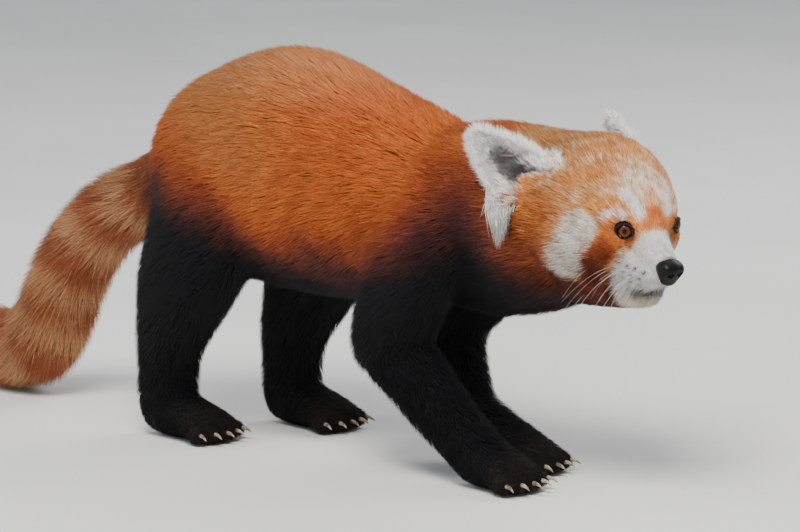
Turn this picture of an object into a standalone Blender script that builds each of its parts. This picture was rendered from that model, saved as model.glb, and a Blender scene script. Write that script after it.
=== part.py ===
"""A life-size red panda, walking with its head low, as a still museum model.

Metres. +X points to the head, +Y to the animal's left and +Z up. The coat counts in every size.
The body is modelled whole, as soft masses set on named joints, and then parted with thin cuts.
"""

import math
import random

import bmesh
import bpy
import numpy as np
from mathutils import Matrix, Vector
from mathutils.bvhtree import BVHTree

# Cuts and finish
GAP = 0.0003
BODY_VOXEL = 0.0034
HEAD_VOXEL = 0.0022
BODY_TRIANGLES = 2500
HEAD_TRIANGLES = 1900
RUFFED_HEAD_TRIANGLES = 2600
LOCKED_TAIL_TRIANGLES = 2950
FRINGED_EAR_TRIANGLES = 540
PAW_TRIANGLES = 530
BODY_ROUNDS, HEAD_ROUNDS = 7, 7
FLAT_DEPTH = 0.0016
REACH = 0.5

# Torso: the centre and half sizes of each mass from the chest back to the rump
CHEST = ((0.086, 0.0, 0.172), (0.036, 0.050, 0.058))
WITHERS = ((0.040, 0.0, 0.186), (0.050, 0.063, 0.0635))
RIBS = ((-0.035, 0.0, 0.194), (0.055, 0.074, 0.081))
LOIN = ((-0.110, 0.0, 0.205), (0.054, 0.079, 0.091))
RUMP = ((-0.180, 0.0, 0.201), (0.050, 0.070, 0.072))
NAPE = ((0.080, 0.0, 0.197), (0.040, 0.058, 0.060))
NECK_END = ((0.146, -0.002, 0.190), (0.036, 0.058, 0.0645))

# Tail: its middle line and its radius, coat and all, from the root to the tip
TAIL_LINE = (
    (-0.205, 0.0, 0.196),
    (-0.262, 0.0, 0.172),
    (-0.306, 0.0, 0.149),
    (-0.344, 0.0, 0.110),
    (-0.364, 0.0, 0.073),
    (-0.385, 0.002, 0.042),
    (-0.425, 0.008, 0.0315),
    (-0.470, 0.018, 0.0290),
    (-0.514, 0.031, 0.0250),
    (-0.548, 0.044, 0.0175),
)
TAIL_RADII = (0.033, 0.032, 0.0325, 0.034, 0.034, 0.034, 0.034, 0.032, 0.028, 0.019)
TAIL_CUTS = (0.72, 2.9, 5.0, 7.0)
TAIL_ROOT_SIDE = (Vector((-0.225, 0.0, 0.180)), Vector((-1.0, 0.0, -0.3)).normalized())

# Legs: where each foot stands, as the middle of its ankle over the floor
FORE_FEET = {"right": (0.102, -0.036), "left": (0.072, 0.025)}
HIND_FEET = {"right": (-0.198, -0.047), "left": (-0.160, 0.047)}
SHOULDER_X, SHOULDER_Y, SHOULDER_Z = 0.046, 0.045, 0.170
HIP_X, HIP_Y, HIP_Z = -0.150, 0.043, 0.182
ELBOW_X, ELBOW_Z = {"right": 0.018, "left": 0.002}, 0.094
WRIST_X, WRIST_Z = {"right": 0.080, "left": 0.036}, 0.038
PAW_LENGTH, PAW_HALF_WIDTH = 0.036, 0.0235
FOOT_LENGTH = 0.052
TOES, TOE_FAN = 5, math.radians(14)
TOE_SIZE = (0.0125, 0.0064, 0.0088)
CLAW_LENGTH, CLAW_RADIUS = 0.0075, 0.0024

# Head: a point just under the middle between the eyes, and how the head is turned and bowed
EYES_AT = (0.2316, -0.010, 0.191)
HEAD_TURN = math.radians(-10)
HEAD_BOW = math.radians(17)
EYE_SIDE, EYE_UP, EYE_RADIUS = 0.0232, 0.0035, 0.0078
EYE_TURN, EYE_LIFT, EYE_DEPTH = math.radians(30), math.radians(6), 0.0058
EYE_OPEN_HALF_WIDTH, EYE_OPEN_HALF_HEIGHT = 0.0068, 0.0056
LID_THICKNESS = 0.0016
NOSE_AT, NOSE_SIZE = (0.0260, 0.0, -0.0175), (0.0078, 0.0100, 0.0080)
NOSTRIL_RADIUS, NOSTRIL_SIDE = 0.0017, 0.0046
NOSE_TRIANGLES, NOSTRIL_TRIANGLES = 260, 70
MOUTH_FRONT = (0.0255, -0.0350)
MOUTH_CORNER = (0.000, 0.0200, -0.0415)
LIP_RADIUS, LIP_SPREAD, MOUTH_CUT_RADIUS = 0.0014, 0.0016, 0.0009
EAR_TIP = (-0.133, 0.064, 0.028)
EAR_FRONT_EDGE, EAR_BACK_EDGE = (-0.062, 0.038, 0.030), (-0.088, 0.065, -0.010)
EAR_THICKNESS, EAR_CUP = 0.005, 0.013
EAR_ROOT_AT, EAR_ROOT, EAR_ROUND_TIP = (-0.058, 0.030, 0.004), -0.30, 0.985

# Locks: length, width and thickness of each kind, how far its tip stands off the core, and its numbers
SEED = 11
LOCK_SUNK, LOCK_STEPS = 0.0035, 3
TAIL_CORE, TAIL_ROOT_FILLED = 0.70, 1.1
TAIL_LOCK, TAIL_ROWS, TAIL_AROUND = (0.056, 0.034, 0.0062), 14, 6
RUFF_LOCK, RUFF_RISE, RUFF_AROUND = (0.048, 0.0175, 0.0050), 0.0125, 7
RUFF_ROWS = (-0.030, -0.050)
THROAT_LOCK, THROAT_RISE = (0.040, 0.024, 0.0060), 0.0120
THROAT_ROWS = ((0.136, 0.19, 65, 4), (0.116, 0.18, 55, 3))
BELLY_LOCK, BELLY_RISE = (0.044, 0.030, 0.0060), 0.0100
BELLY_ROWS = ((-0.010, 0.19, 32, 3), (-0.048, 0.19, 36, 3), (-0.086, 0.19, 30, 3))
EAR_LOCK, EAR_LOCKS = (0.0200, 0.0135, 0.0034), 4
EAR_TUFT, EAR_TUFTS = (0.044, 0.0130, 0.0045), 2

# Planes that part the head, the neck and the torso: a point on each and its tilt from upright
HEAD_CUT, HEAD_CUT_TILT = (0.138, 0.0, 0.19), math.radians(-9)
NECK_CUT, NECK_CUT_TILT = (0.092, 0.0, 0.19), math.radians(-20)
LEG_SPREAD, MIDDLE_CLEAR, REGION_TRIANGLES = 0.009, 0.003, 260
WRIST_CUT_Z, HOCK_CUT_Z, KNEE_CUT_Z = 0.034, 0.036, 0.100

SIDES = {"right": -1, "left": 1}


def clear_scene():
    for old in list(bpy.data.objects):
        bpy.data.objects.remove(old)


def collection(name):
    made = bpy.data.collections.new(name)
    bpy.context.scene.collection.children.link(made)
    return made


def material(name, colour, roughness):
    made = bpy.data.materials.new(name)
    made.use_nodes = True
    shader = made.node_tree.nodes["Principled BSDF"]
    shader.inputs["Base Color"].default_value = (*colour, 1)
    shader.inputs["Roughness"].default_value = roughness
    shader.inputs["Metallic"].default_value = 0
    return made


def new_object(name, source, home):
    """An object in the collection home, from a bmesh or a mesh."""
    if isinstance(source, bmesh.types.BMesh):
        mesh = bpy.data.meshes.new(name)
        source.to_mesh(mesh)
        source.free()
    else:
        mesh = source
    made = bpy.data.objects.new(name, mesh)
    home.objects.link(made)
    return made


def evaluated_mesh(obj):
    bpy.context.view_layer.update()
    graph = bpy.context.evaluated_depsgraph_get()
    return bpy.data.meshes.new_from_object(obj.evaluated_get(graph))


def apply_modifiers(obj):
    mesh = evaluated_mesh(obj)
    obj.modifiers.clear()
    obj.data = mesh
    return obj


def unit_sphere_points():
    bm = bmesh.new()
    bmesh.ops.create_icosphere(bm, subdivisions=3, radius=1)
    points = [vert.co.copy() for vert in bm.verts]
    bm.free()
    return points


SPHERE = unit_sphere_points()


def hull_into(bm, masses, frame=Matrix()):
    """Adds to bm the convex hull of a few ellipsoids, each a centre and three half sizes."""
    added = []
    for centre, half in masses:
        for point in SPHERE:
            place = Vector(c + h * p for c, h, p in zip(centre, half, point))
            added.append(bm.verts.new(frame @ place))
    found = bmesh.ops.convex_hull(bm, input=added)
    inner = [part for part in found["geom_interior"] if isinstance(part, bmesh.types.BMVert)]
    bmesh.ops.delete(bm, geom=inner, context="VERTS")


def chain_into(bm, masses, frame=Matrix()):
    """Joins each mass to the next with a hull."""
    for pair in zip(masses, masses[1:]):
        hull_into(bm, pair, frame)


def ball(centre, radius):
    return (centre, (radius, radius, radius))


def mirrored(mass):
    (x, y, z), half = mass
    return ((x, -y, z), half)


def head_frame():
    turned = Matrix.Rotation(HEAD_TURN, 4, "Z") @ Matrix.Rotation(HEAD_BOW, 4, "Y")
    return Matrix.Translation(EYES_AT) @ turned


HEAD = head_frame()


def on_curve(rows, t):
    """The row at t, counted in rows, on a smooth curve through them all."""
    last = len(rows) - 1
    i = min(int(t), last - 1)
    f = t - i
    p0, p1, p2, p3 = (np.array(rows[min(max(k, 0), last)]) for k in (i - 1, i, i + 1, i + 2))
    bend = (p2 - p0) * f + (2 * p0 - 5 * p1 + 4 * p2 - p3) * f**2 + (3 * p1 - p0 - 3 * p2 + p3) * f**3
    return p1 + bend / 2


def tail_point(t):
    """The tail's middle line and radius at t, counted in points of TAIL_LINE."""
    row = on_curve([(*place, radius) for place, radius in zip(TAIL_LINE, TAIL_RADII)], t)
    return Vector(row[:3]), row[3]


def tail_direction(t):
    step = 0.05
    return (tail_point(t + step)[0] - tail_point(t - step)[0]).normalized()


def foreleg_masses(side):
    s = SIDES[side]
    x, y = FORE_FEET[side]
    return (
        ((SHOULDER_X, s * SHOULDER_Y, SHOULDER_Z), (0.044, 0.026, 0.056)),
        ((ELBOW_X[side], 0.4 * y + 0.6 * s * SHOULDER_Y, ELBOW_Z), (0.032, 0.026, 0.030)),
        ((WRIST_X[side], y, WRIST_Z), (0.0225, 0.0210, 0.0225)),
    )


def paw_masses(x, y, length):
    heel = ((x, y, 0.020), (0.023, 0.0205, 0.0205 + FLAT_DEPTH))
    ball_of_foot = ((x + length * 0.8, y, 0.0125), (0.017, PAW_HALF_WIDTH, 0.0125 + FLAT_DEPTH))
    return heel, ball_of_foot


def toe_frames(x, y, length):
    """Where each toe of a foot is, spread in a fan over its front."""
    frames = []
    for k in range(TOES):
        across = 2 * k / (TOES - 1) - 1
        ahead = x + length * 0.8 + 0.0105 - 0.0055 * across * across
        place = (ahead, y + across * (PAW_HALF_WIDTH - 0.0035), TOE_SIZE[2] - FLAT_DEPTH / 2)
        frames.append(Matrix.Translation(place) @ Matrix.Rotation(across * TOE_FAN, 4, "Z"))
    return frames


def hind_masses(side):
    s = SIDES[side]
    x, y = HIND_FEET[side]
    return (
        ((HIP_X, s * HIP_Y, HIP_Z), (0.056, 0.036, 0.052)),
        ((x + 0.024, y + s * 0.002, 0.122), (0.046, 0.031, 0.038)),
        ((x + 0.002, y, 0.072), (0.030, 0.0245, 0.026)),
        ((x - 0.001, y, 0.036), (0.0235, 0.021, 0.024)),
    )


def smooth_chain(masses, steps=5):
    """The masses with others between them, on curves that pass through each."""
    rows = [(*centre, *half) for centre, half in masses]
    places = [on_curve(rows, k / steps) for k in range((len(rows) - 1) * steps + 1)]
    return [(tuple(row[:3]), tuple(row[3:])) for row in places]


def body_masses(bm):
    chain_into(bm, smooth_chain((CHEST, WITHERS, RIBS, LOIN, RUMP)))
    chain_into(bm, smooth_chain((RIBS, WITHERS, NAPE, NECK_END)))
    hull_into(bm, (CHEST, NECK_END))
    steps = 4 * (len(TAIL_LINE) - 1)
    spots = [tail_point(len(TAIL_LINE[1:]) * k / steps) for k in range(steps + 1)]
    filled = [max(0, 1 - k / steps * len(TAIL_LINE[1:]) / TAIL_ROOT_FILLED) for k in range(steps + 1)]
    cores = [TAIL_CORE + (1 - TAIL_CORE) * full for full in filled]
    chain_into(bm, [ball(place, radius * core) for (place, radius), core in zip(spots, cores)])
    for side in SIDES:
        chain_into(bm, foreleg_masses(side))
        x, y = FORE_FEET[side]
        hull_into(bm, (foreleg_masses(side)[-1], paw_masses(x, y, PAW_LENGTH)[0]))
        hull_into(bm, paw_masses(x, y, PAW_LENGTH))
        chain_into(bm, hind_masses(side))
        x, y = HIND_FEET[side]
        hull_into(bm, (hind_masses(side)[-1], paw_masses(x, y, FOOT_LENGTH)[0]))
        hull_into(bm, paw_masses(x, y, FOOT_LENGTH))


def front_masses(bm):
    """What lies behind the head's cut, so that the head's rim meets the neck's."""
    chain_into(bm, (WITHERS, NAPE, NECK_END))
    hull_into(bm, (CHEST, NECK_END))


def head_masses(bm):
    skull = ((-0.058, 0.0, -0.002), (0.050, 0.055, 0.051))
    forehead = ((-0.028, 0.0, 0.003), (0.031, 0.041, 0.033))
    brow = ((-0.006, 0.0, 0.003), (0.012, 0.027, 0.014))
    hull_into(bm, (skull, forehead), HEAD)
    hull_into(bm, (forehead, brow), HEAD)
    bridge = ((-0.004, 0.0, -0.004), (0.013, 0.0165, 0.012))
    bridge_end = ((0.0190, 0.0, -0.0125), (0.008, 0.0105, 0.0070))
    hull_into(bm, (bridge, bridge_end), HEAD)
    muzzle = ((-0.012, 0.0, -0.024), (0.023, 0.028, 0.020))
    muzzle_end = ((0.0165, 0.0, -0.0250), (0.0105, 0.0155, 0.0110))
    hull_into(bm, (muzzle, muzzle_end), HEAD)
    jaw = ((-0.034, 0.0, -0.047), (0.029, 0.035, 0.022))
    chin = ((0.0125, 0.0, -0.0415), (0.0105, 0.0120, 0.0075))
    hull_into(bm, (jaw, chin), HEAD)
    throat = ((-0.070, 0.0, -0.050), (0.040, 0.046, 0.030))
    hull_into(bm, (skull, throat, jaw), HEAD)
    cheek = ((-0.045, 0.028, -0.018), (0.031, 0.029, 0.029))
    under_eye = ((-0.012, 0.021, -0.008), (0.015, 0.014, 0.016))
    for side in (cheek, under_eye), (mirrored(cheek), mirrored(under_eye)):
        hull_into(bm, side, HEAD)


def softened(name, fill, voxel, triangles, rounds, home):
    """One closed surface round all the masses: remeshed, smoothed and thinned out."""
    bm = bmesh.new()
    for add_masses in fill:
        add_masses(bm)
    obj = new_object(name, bm, home)
    remesh = obj.modifiers.new("one_skin", "REMESH")
    remesh.mode = "VOXEL"
    remesh.voxel_size = voxel
    smooth = obj.modifiers.new("soften", "SMOOTH")
    smooth.factor = 0.5
    smooth.iterations = rounds
    return thinned(apply_modifiers(obj), triangles)


def thinned(obj, triangles):
    """Thins a closed surface out to about so many triangles."""
    faces = sum(len(face.vertices) - 2 for face in obj.data.polygons)
    thin = obj.modifiers.new("thin_out", "DECIMATE")
    thin.ratio = min(1.0, triangles / faces)
    thin.use_collapse_triangulate = True
    return apply_modifiers(obj)


def block(name, frame, low, high, home):
    """A box with its corners given in a frame."""
    bm = bmesh.new()
    bmesh.ops.create_cube(bm, size=1)
    centre = (Vector(low) + Vector(high)) / 2
    size = Vector(high) - Vector(low)
    placed = frame @ Matrix.Translation(centre) @ Matrix.Diagonal((*size, 1))
    bmesh.ops.transform(bm, matrix=placed, verts=bm.verts)
    return helper(new_object(name, bm, home))


def helper(obj):
    obj.hide_render = True
    obj.display_type = "WIRE"
    return obj


def keep_largest(obj):
    """Leaves only the closed surface with the largest volume."""
    bm = bmesh.new()
    bm.from_mesh(obj.data)
    bmesh.ops.remove_doubles(bm, verts=bm.verts, dist=1e-6)
    left = set(bm.faces)
    shells = []
    while left:
        shell, edge_of_search = set(), [left.pop()]
        while edge_of_search:
            face = edge_of_search.pop()
            shell.add(face)
            for edge in face.edges:
                for other in edge.link_faces:
                    if other in left:
                        left.discard(other)
                        edge_of_search.append(other)
        shells.append(shell)

    def volume(shell):
        total = 0.0
        for face in shell:
            corners = [vert.co for vert in face.verts]
            for b, c in zip(corners[1:], corners[2:]):
                total += corners[0].dot(b.cross(c))
        return total

    best = max(shells, key=volume)
    loose = [face for shell in shells if shell is not best for face in shell]
    bmesh.ops.delete(bm, geom=loose, context="FACES")
    bm.to_mesh(obj.data)
    bm.free()
    return obj


def boolean(obj, other, operation, solver="MANIFOLD"):
    cut = obj.modifiers.new("cut", "BOOLEAN")
    cut.operation = operation
    cut.object = other
    cut.solver = solver
    return apply_modifiers(obj)


def copy_of(obj, name, home):
    return new_object(name, obj.data.copy(), home)


def grown(obj, name, by, home):
    """A copy whose surface stands out by a small distance."""
    made = copy_of(obj, name, home)
    push = made.modifiers.new("push_out", "DISPLACE")
    push.direction = "NORMAL"
    push.mid_level = 0
    push.strength = by
    return helper(apply_modifiers(made))


def plane_frame(point, tilt, turn=0.0):
    """A frame at a point whose +X is the cut's normal, level at tilt 0."""
    turned = Matrix.Rotation(turn, 4, "Z") @ Matrix.Rotation(tilt, 4, "Y")
    return Matrix.Translation(point) @ turned


def frame_along(point, direction):
    return Matrix.Translation(point) @ direction.to_track_quat("X", "Z").to_matrix().to_4x4()


def leg_region(name, side, masses, home):
    """The space of one leg on its own side: its masses made wider, and joined down to its foot."""
    bm = bmesh.new()
    wide = [(centre, tuple(h + LEG_SPREAD for h in half)) for centre, half in masses]
    chain_into(bm, wide)
    obj = new_object(name, bm, home)
    join = obj.modifiers.new("one_skin", "REMESH")
    join.mode = "VOXEL"
    join.voxel_size = 0.006
    smooth = obj.modifiers.new("soften", "SMOOTH")
    smooth.factor = 0.5
    smooth.iterations = 6
    thinned(apply_modifiers(obj), REGION_TRIANGLES)
    edges = sorted((SIDES[side] * MIDDLE_CLEAR, SIDES[side] * REACH))
    own_side = block("own_side", Matrix(), (-REACH, edges[0], -REACH), (REACH, edges[1], REACH), home)
    return helper(boolean(obj, own_side, "INTERSECT"))


def lock(path, width, thickness, home):
    """A flat lock: rings along a path of places and outward directions, tapered to a point."""
    bm = bmesh.new()
    last = len(path) - 1
    rings = []
    for k, (place, outward) in enumerate(path):
        f = k / last
        ahead = (path[min(k + 1, last)][0] - path[max(k - 1, 0)][0]).normalized()
        across = outward.cross(ahead).normalized()
        up = ahead.cross(across)
        if k == last:
            tip = bm.verts.new(place)
            continue
        wide = across * width / 2 * (0.66 + 1.1 * f - 1.5 * f * f)
        thick = up * thickness / 2 * (1 - 0.55 * f)
        corners = (place + wide, place + thick, place - wide, place - thick)
        rings.append([bm.verts.new(corner) for corner in corners])
    for low, high in zip(rings, rings[1:]):
        for j in range(4):
            bm.faces.new((low[j], low[(j + 1) % 4], high[(j + 1) % 4], high[j]))
    for j in range(4):
        bm.faces.new((rings[-1][j], rings[-1][(j + 1) % 4], tip))
    bm.faces.new(reversed(rings[0]))
    bmesh.ops.recalc_face_normals(bm, faces=bm.faces)
    bmesh.ops.triangulate(bm, faces=bm.faces)
    return helper(new_object("lock", bm, home))


def lie_along(tree, start, heading, length, rise):
    """A path that follows a surface from start, from a sunk root to a tip that stands off by rise."""
    place, normal = tree.find_nearest(start)[:2]
    path = []
    for k in range(LOCK_STEPS + 1):
        f = k / LOCK_STEPS
        height = -LOCK_SUNK + (rise + LOCK_SUNK) * (0.35 * f + 0.65 * math.sin(f * math.pi / 2))
        path.append((place + normal * height, normal))
        heading = (heading - normal * heading.dot(normal)).normalized()
        place, normal = tree.find_nearest(place + heading * length / LOCK_STEPS)[:2]
    return path


def varied(draw, size):
    """The length, width and thickness of one lock of a kind."""
    return [side * draw.uniform(0.85, 1.12) for side in size]


def tail_locks(tree, draw, home):
    """Shingled round the tail from its root to its tip, each row turned half a lock."""
    first, last = 0.74, len(TAIL_LINE) - 1.0
    made = []
    for row in range(TAIL_ROWS):
        t = first + (last - 0.35 - first) * row / (TAIL_ROWS - 1)
        middle, radius = tail_point(t)
        frame = frame_along(middle, tail_direction(t))
        for k in range(TAIL_AROUND):
            angle = 2 * math.pi * (k + row % 2 / 2 + draw.uniform(-0.12, 0.12)) / TAIL_AROUND
            length, width, thickness = varied(draw, TAIL_LOCK)
            left_to_tip = (tail_point(last)[0] - middle).length + radius
            outward = frame.to_3x3() @ Vector((0, math.cos(angle), math.sin(angle)))
            side_lean = frame.to_3x3() @ Vector((1, *(draw.uniform(-0.22, 0.22) for _ in range(2))))
            rise = radius * (1 - TAIL_CORE) * draw.uniform(0.75, 1.0)
            path = lie_along(tree, middle + outward * radius, side_lean, min(length, left_to_tip), rise)
            made.append(lock(path, width * radius / TAIL_RADII[3], thickness, home))
    return made


def ruff_locks(tree, draw, home):
    """Rows round each cheek from below the ear to the throat, that lie back and down."""
    made = []
    for s in SIDES.values():
        for row, x in enumerate(RUFF_ROWS):
            for k in range(RUFF_AROUND):
                angle = math.radians(22 - 112 * (k + row % 2 / 2) / (RUFF_AROUND - 0.5))
                length, width, thickness = varied(draw, RUFF_LOCK)
                start = Vector((x, s * 0.07 * math.cos(angle), -0.018 + 0.07 * math.sin(angle)))
                heading = Vector((-1, s * draw.uniform(-0.15, 0.10), -0.55 + draw.uniform(-0.2, 0.15)))
                rise = RUFF_RISE * draw.uniform(0.75, 1.05)
                path = lie_along(tree, HEAD @ start, HEAD.to_3x3() @ heading, length, rise)
                made.append(lock(path, width, thickness, home))
    return made


def underside_locks(tree, draw, rows, size, rise, home):
    """Rows across the underside of the trunk, each a place on its middle line and a spread in degrees."""
    made = []
    for row, (x, z, spread, count) in enumerate(rows):
        for k in range(count):
            angle = math.radians(-90 + spread * (2 * (k + 0.5) / count - 1 + draw.uniform(-0.06, 0.06)))
            length, width, thickness = varied(draw, size)
            start = Vector((x, 0.08 * math.cos(angle), z + 0.082 * math.sin(angle)))
            heading = Vector((-1, draw.uniform(-0.2, 0.2), -0.5))
            path = lie_along(tree, start, heading, length, rise * draw.uniform(0.7, 1.0))
            made.append(lock(path, width, thickness, home))
    return made


def ear_place(side, u, v):
    """A place on the ear's middle sheet: u runs from foot to tip and v from back edge to front edge."""
    s = SIDES[side]
    tip, front, back = (Vector((x, s * y, z)) for x, y, z in (EAR_TIP, EAR_FRONT_EDGE, EAR_BACK_EDGE))
    foot = (front + back) / 2
    along, half = tip - foot, (front - back) / 2
    opening = along.cross(half).normalized() * s
    root = Vector((EAR_ROOT_AT[0], s * EAR_ROOT_AT[1], EAR_ROOT_AT[2]))
    width = (1 - max(u, 0) ** 1.7) ** 0.75
    hollow = EAR_CUP * (1 - v * v) * (1 - 0.75 * max(u, 0))
    place = foot + along * max(u, 0) + half * (v * width) - opening * hollow
    sunk = 0.8 * min(u / EAR_ROOT, 1) if u < 0 else 0
    return HEAD @ place.lerp(root, sunk), HEAD.to_3x3() @ opening


def ear_locks(side, draw, home):
    """A fringe along both edges of an ear, and the long tuft that hangs from its foot."""
    made = []
    for k in range(EAR_LOCKS):
        for edge in (-1, 1):
            u = (k + 0.4) / EAR_LOCKS * 0.9
            root, rim = ear_place(side, u, edge * 0.78)[0], ear_place(side, u, edge * 0.97)[0]
            opening = ear_place(side, u, 0)[1]
            ahead = ear_place(side, min(u + 0.25, 0.98), edge)[0] - rim
            out = (rim - root) - opening * (rim - root).dot(opening)
            heading = out.normalized() + ahead.normalized() * (0.9 if edge < 0 else 2.2)
            length, width, thickness = varied(draw, EAR_LOCK)
            step = heading.normalized() * length * (1.0 if edge < 0 else 0.8)
            path = [(root, opening), (rim, opening), (rim + step * 0.4, opening), (rim + step * 0.8, opening)]
            made.append(lock(path, width, thickness, home))
    for k in range(EAR_TUFTS):
        here, opening = ear_place(side, 0.04 + 0.16 * k, -0.85)
        length, width, thickness = varied(draw, EAR_TUFT)
        down = Vector((-0.10 - 0.20 * k, SIDES[side] * 0.30, -1)).normalized()
        sag = Vector((0, -SIDES[side] * 0.2, 0))
        path = [(here + (down + sag * f) * length * (f - 0.12), opening) for f in (0, 0.4, 0.75, 1.12)]
        made.append(lock(path, width, thickness, home))
    return made


def ear_mesh(side):
    """A leaf-shaped cup: wide at the foot, drawn to a point, hollow towards its opening."""
    rows, columns = 9, 8
    bm = bmesh.new()
    grid = []
    for i in range(rows + 1):
        u = EAR_ROOT + (EAR_ROUND_TIP - EAR_ROOT) * i / rows
        places = [ear_place(side, u, 2 * j / columns - 1)[0] for j in range(columns + 1)]
        grid.append([bm.verts.new(place) for place in places])
    for low, high in zip(grid, grid[1:]):
        for j in range(columns):
            bm.faces.new((low[j], low[j + 1], high[j + 1], high[j]))
    bmesh.ops.recalc_face_normals(bm, faces=bm.faces)
    return bm


def ear(side, neighbours, home, tools):
    obj = new_object(f"ear_{side}", ear_mesh(side), home)
    wall = obj.modifiers.new("wall", "SOLIDIFY")
    wall.thickness = EAR_THICKNESS
    wall.offset = 0
    apply_modifiers(obj)
    add_all(obj, ear_locks(side, random.Random(SEED + SIDES[side]), tools), "to_fuse")
    thinned(obj, FRINGED_EAR_TRIANGLES)
    for other in neighbours:
        boolean(obj, grown(other, "head_space", GAP, tools), "DIFFERENCE")
    return keep_largest(obj)


def eye_place(side, ahead=0.0):
    s = SIDES[side]
    look = Matrix.Rotation(s * EYE_TURN, 4, "Z") @ Matrix.Rotation(-EYE_LIFT, 4, "Y")
    return HEAD @ Matrix.Translation((0, s * EYE_SIDE, EYE_UP)) @ look @ Matrix.Translation((ahead - EYE_DEPTH, 0, 0))


def sphere_object(name, frame, half, home, segments=12, rings=8):
    bm = bmesh.new()
    placed = frame @ Matrix.Diagonal((*half, 1))
    bmesh.ops.create_uvsphere(bm, u_segments=segments, v_segments=rings, radius=1, matrix=placed)
    return new_object(name, bm, home)


def add_lids_and_sockets(head, tools):
    """Lids a little proud of each eyeball, then the socket and the almond opening."""
    for side in SIDES:
        shell = EYE_RADIUS + LID_THICKNESS
        lids = helper(sphere_object("lids", eye_place(side), (shell,) * 3, tools))
        boolean(head, lids, "UNION")
        socket = helper(sphere_object("socket", eye_place(side), (EYE_RADIUS + GAP,) * 3, tools))
        almond_half = (EYE_RADIUS, EYE_OPEN_HALF_WIDTH, EYE_OPEN_HALF_HEIGHT)
        almond = helper(sphere_object("almond", eye_place(side, EYE_RADIUS), almond_half, tools))
        boolean(head, socket, "DIFFERENCE")
        boolean(head, almond, "DIFFERENCE")


def surface_tree(obj):
    bm = bmesh.new()
    bm.from_mesh(obj.data)
    tree = BVHTree.FromBMesh(bm)
    bm.free()
    return tree


def tube(name, points, radius, home, thin_ends=False):
    """A round bar along points, as a closed mesh."""
    curve = bpy.data.curves.new(name, "CURVE")
    curve.dimensions = "3D"
    curve.bevel_depth = radius
    curve.bevel_resolution = 1
    curve.use_fill_caps = True
    spline = curve.splines.new("POLY")
    spline.points.add(len(points) - 1)
    for k, (spot, place) in enumerate(zip(spline.points, points)):
        spot.co = (*place, 1)
        end = abs(2 * k / (len(points) - 1) - 1)
        spot.radius = 1 - 0.65 * end**4 if thin_ends else 1
    route = bpy.data.objects.new(name + "_route", curve)
    home.objects.link(route)
    mesh = evaluated_mesh(route)
    bpy.data.objects.remove(route)
    bm = bmesh.new()
    bm.from_mesh(mesh)
    bmesh.ops.remove_doubles(bm, verts=bm.verts, dist=1e-6)
    return helper(new_object(name, bm, home))


def mouth_line(tree, drop=0.0):
    """Points on the muzzle from one corner of the mouth round the front to the other."""
    front_x, front_z = MOUTH_FRONT
    corner = Vector(MOUTH_CORNER)
    steps = 6
    points = []
    for k in range(-steps, steps + 1):
        f = abs(k) / steps
        sag = 0.0022 * math.sin(math.pi * f)
        aim = Vector((front_x * (1 - f**2) + corner.x * f**2, 0, 0))
        aim.z = front_z * (1 - f) + corner.z * f - sag - drop
        aim.y = math.copysign(corner.y * math.sin(f * math.pi / 2), k)
        middle = Vector((-0.012, 0, aim.z))
        outward = (aim - middle).normalized()
        start = HEAD @ (middle + outward * 0.08)
        hit = tree.ray_cast(start, HEAD.to_3x3() @ -outward)[0]
        points.append(hit)
    return points


def add_mouth(head, tools):
    """The upper and lower lips as soft rolls, with the line of the mouth cut between them."""
    tree = surface_tree(head)
    for name, drop in (("upper_lip", -LIP_SPREAD), ("lower_lip", LIP_SPREAD)):
        boolean(head, tube(name, mouth_line(tree, drop), LIP_RADIUS, tools, True), "UNION")
    boolean(head, tube("mouth_cut", mouth_line(tree), MOUTH_CUT_RADIUS, tools), "DIFFERENCE")


def nose(home, tools):
    """A bare rounded pad, broad above and narrow below, with two nostrils and the groove under them."""
    x, _, z = NOSE_AT
    depth, width, height = NOSE_SIZE
    upper = [((x, s * width * 0.42, z + height * 0.25), (depth, width * 0.58, height * 0.68)) for s in (-1, 1)]
    lower = [((x - 0.0005, 0, z - height * 0.75), (depth * 0.72, width * 0.40, height * 0.50))]
    bm = bmesh.new()
    hull_into(bm, upper + lower, HEAD)
    obj = new_object("nose", bm, home)
    thinned(obj, NOSE_TRIANGLES)
    for side, s in SIDES.items():
        bm = bmesh.new()
        mouth_of_nostril = ((x + depth * 0.93, s * NOSTRIL_SIDE * 0.8, z), (NOSTRIL_RADIUS * 1.3,) * 3)
        slit_end = ((x + depth * 0.35, s * width * 0.98, z + 0.0004), (0.0011, 0.0011, 0.0008))
        hull_into(bm, (mouth_of_nostril, slit_end), HEAD)
        slit = thinned(new_object(f"nostril_{side}", bm, tools), NOSTRIL_TRIANGLES)
        boolean(obj, helper(slit), "DIFFERENCE")
    groove = [HEAD @ Vector((x + depth * 1.04, 0, z + height * f)) for f in (0.0, -0.8, -1.6)]
    boolean(obj, tube("groove", groove, 0.0007, tools), "DIFFERENCE")
    return keep_largest(obj)


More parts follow.
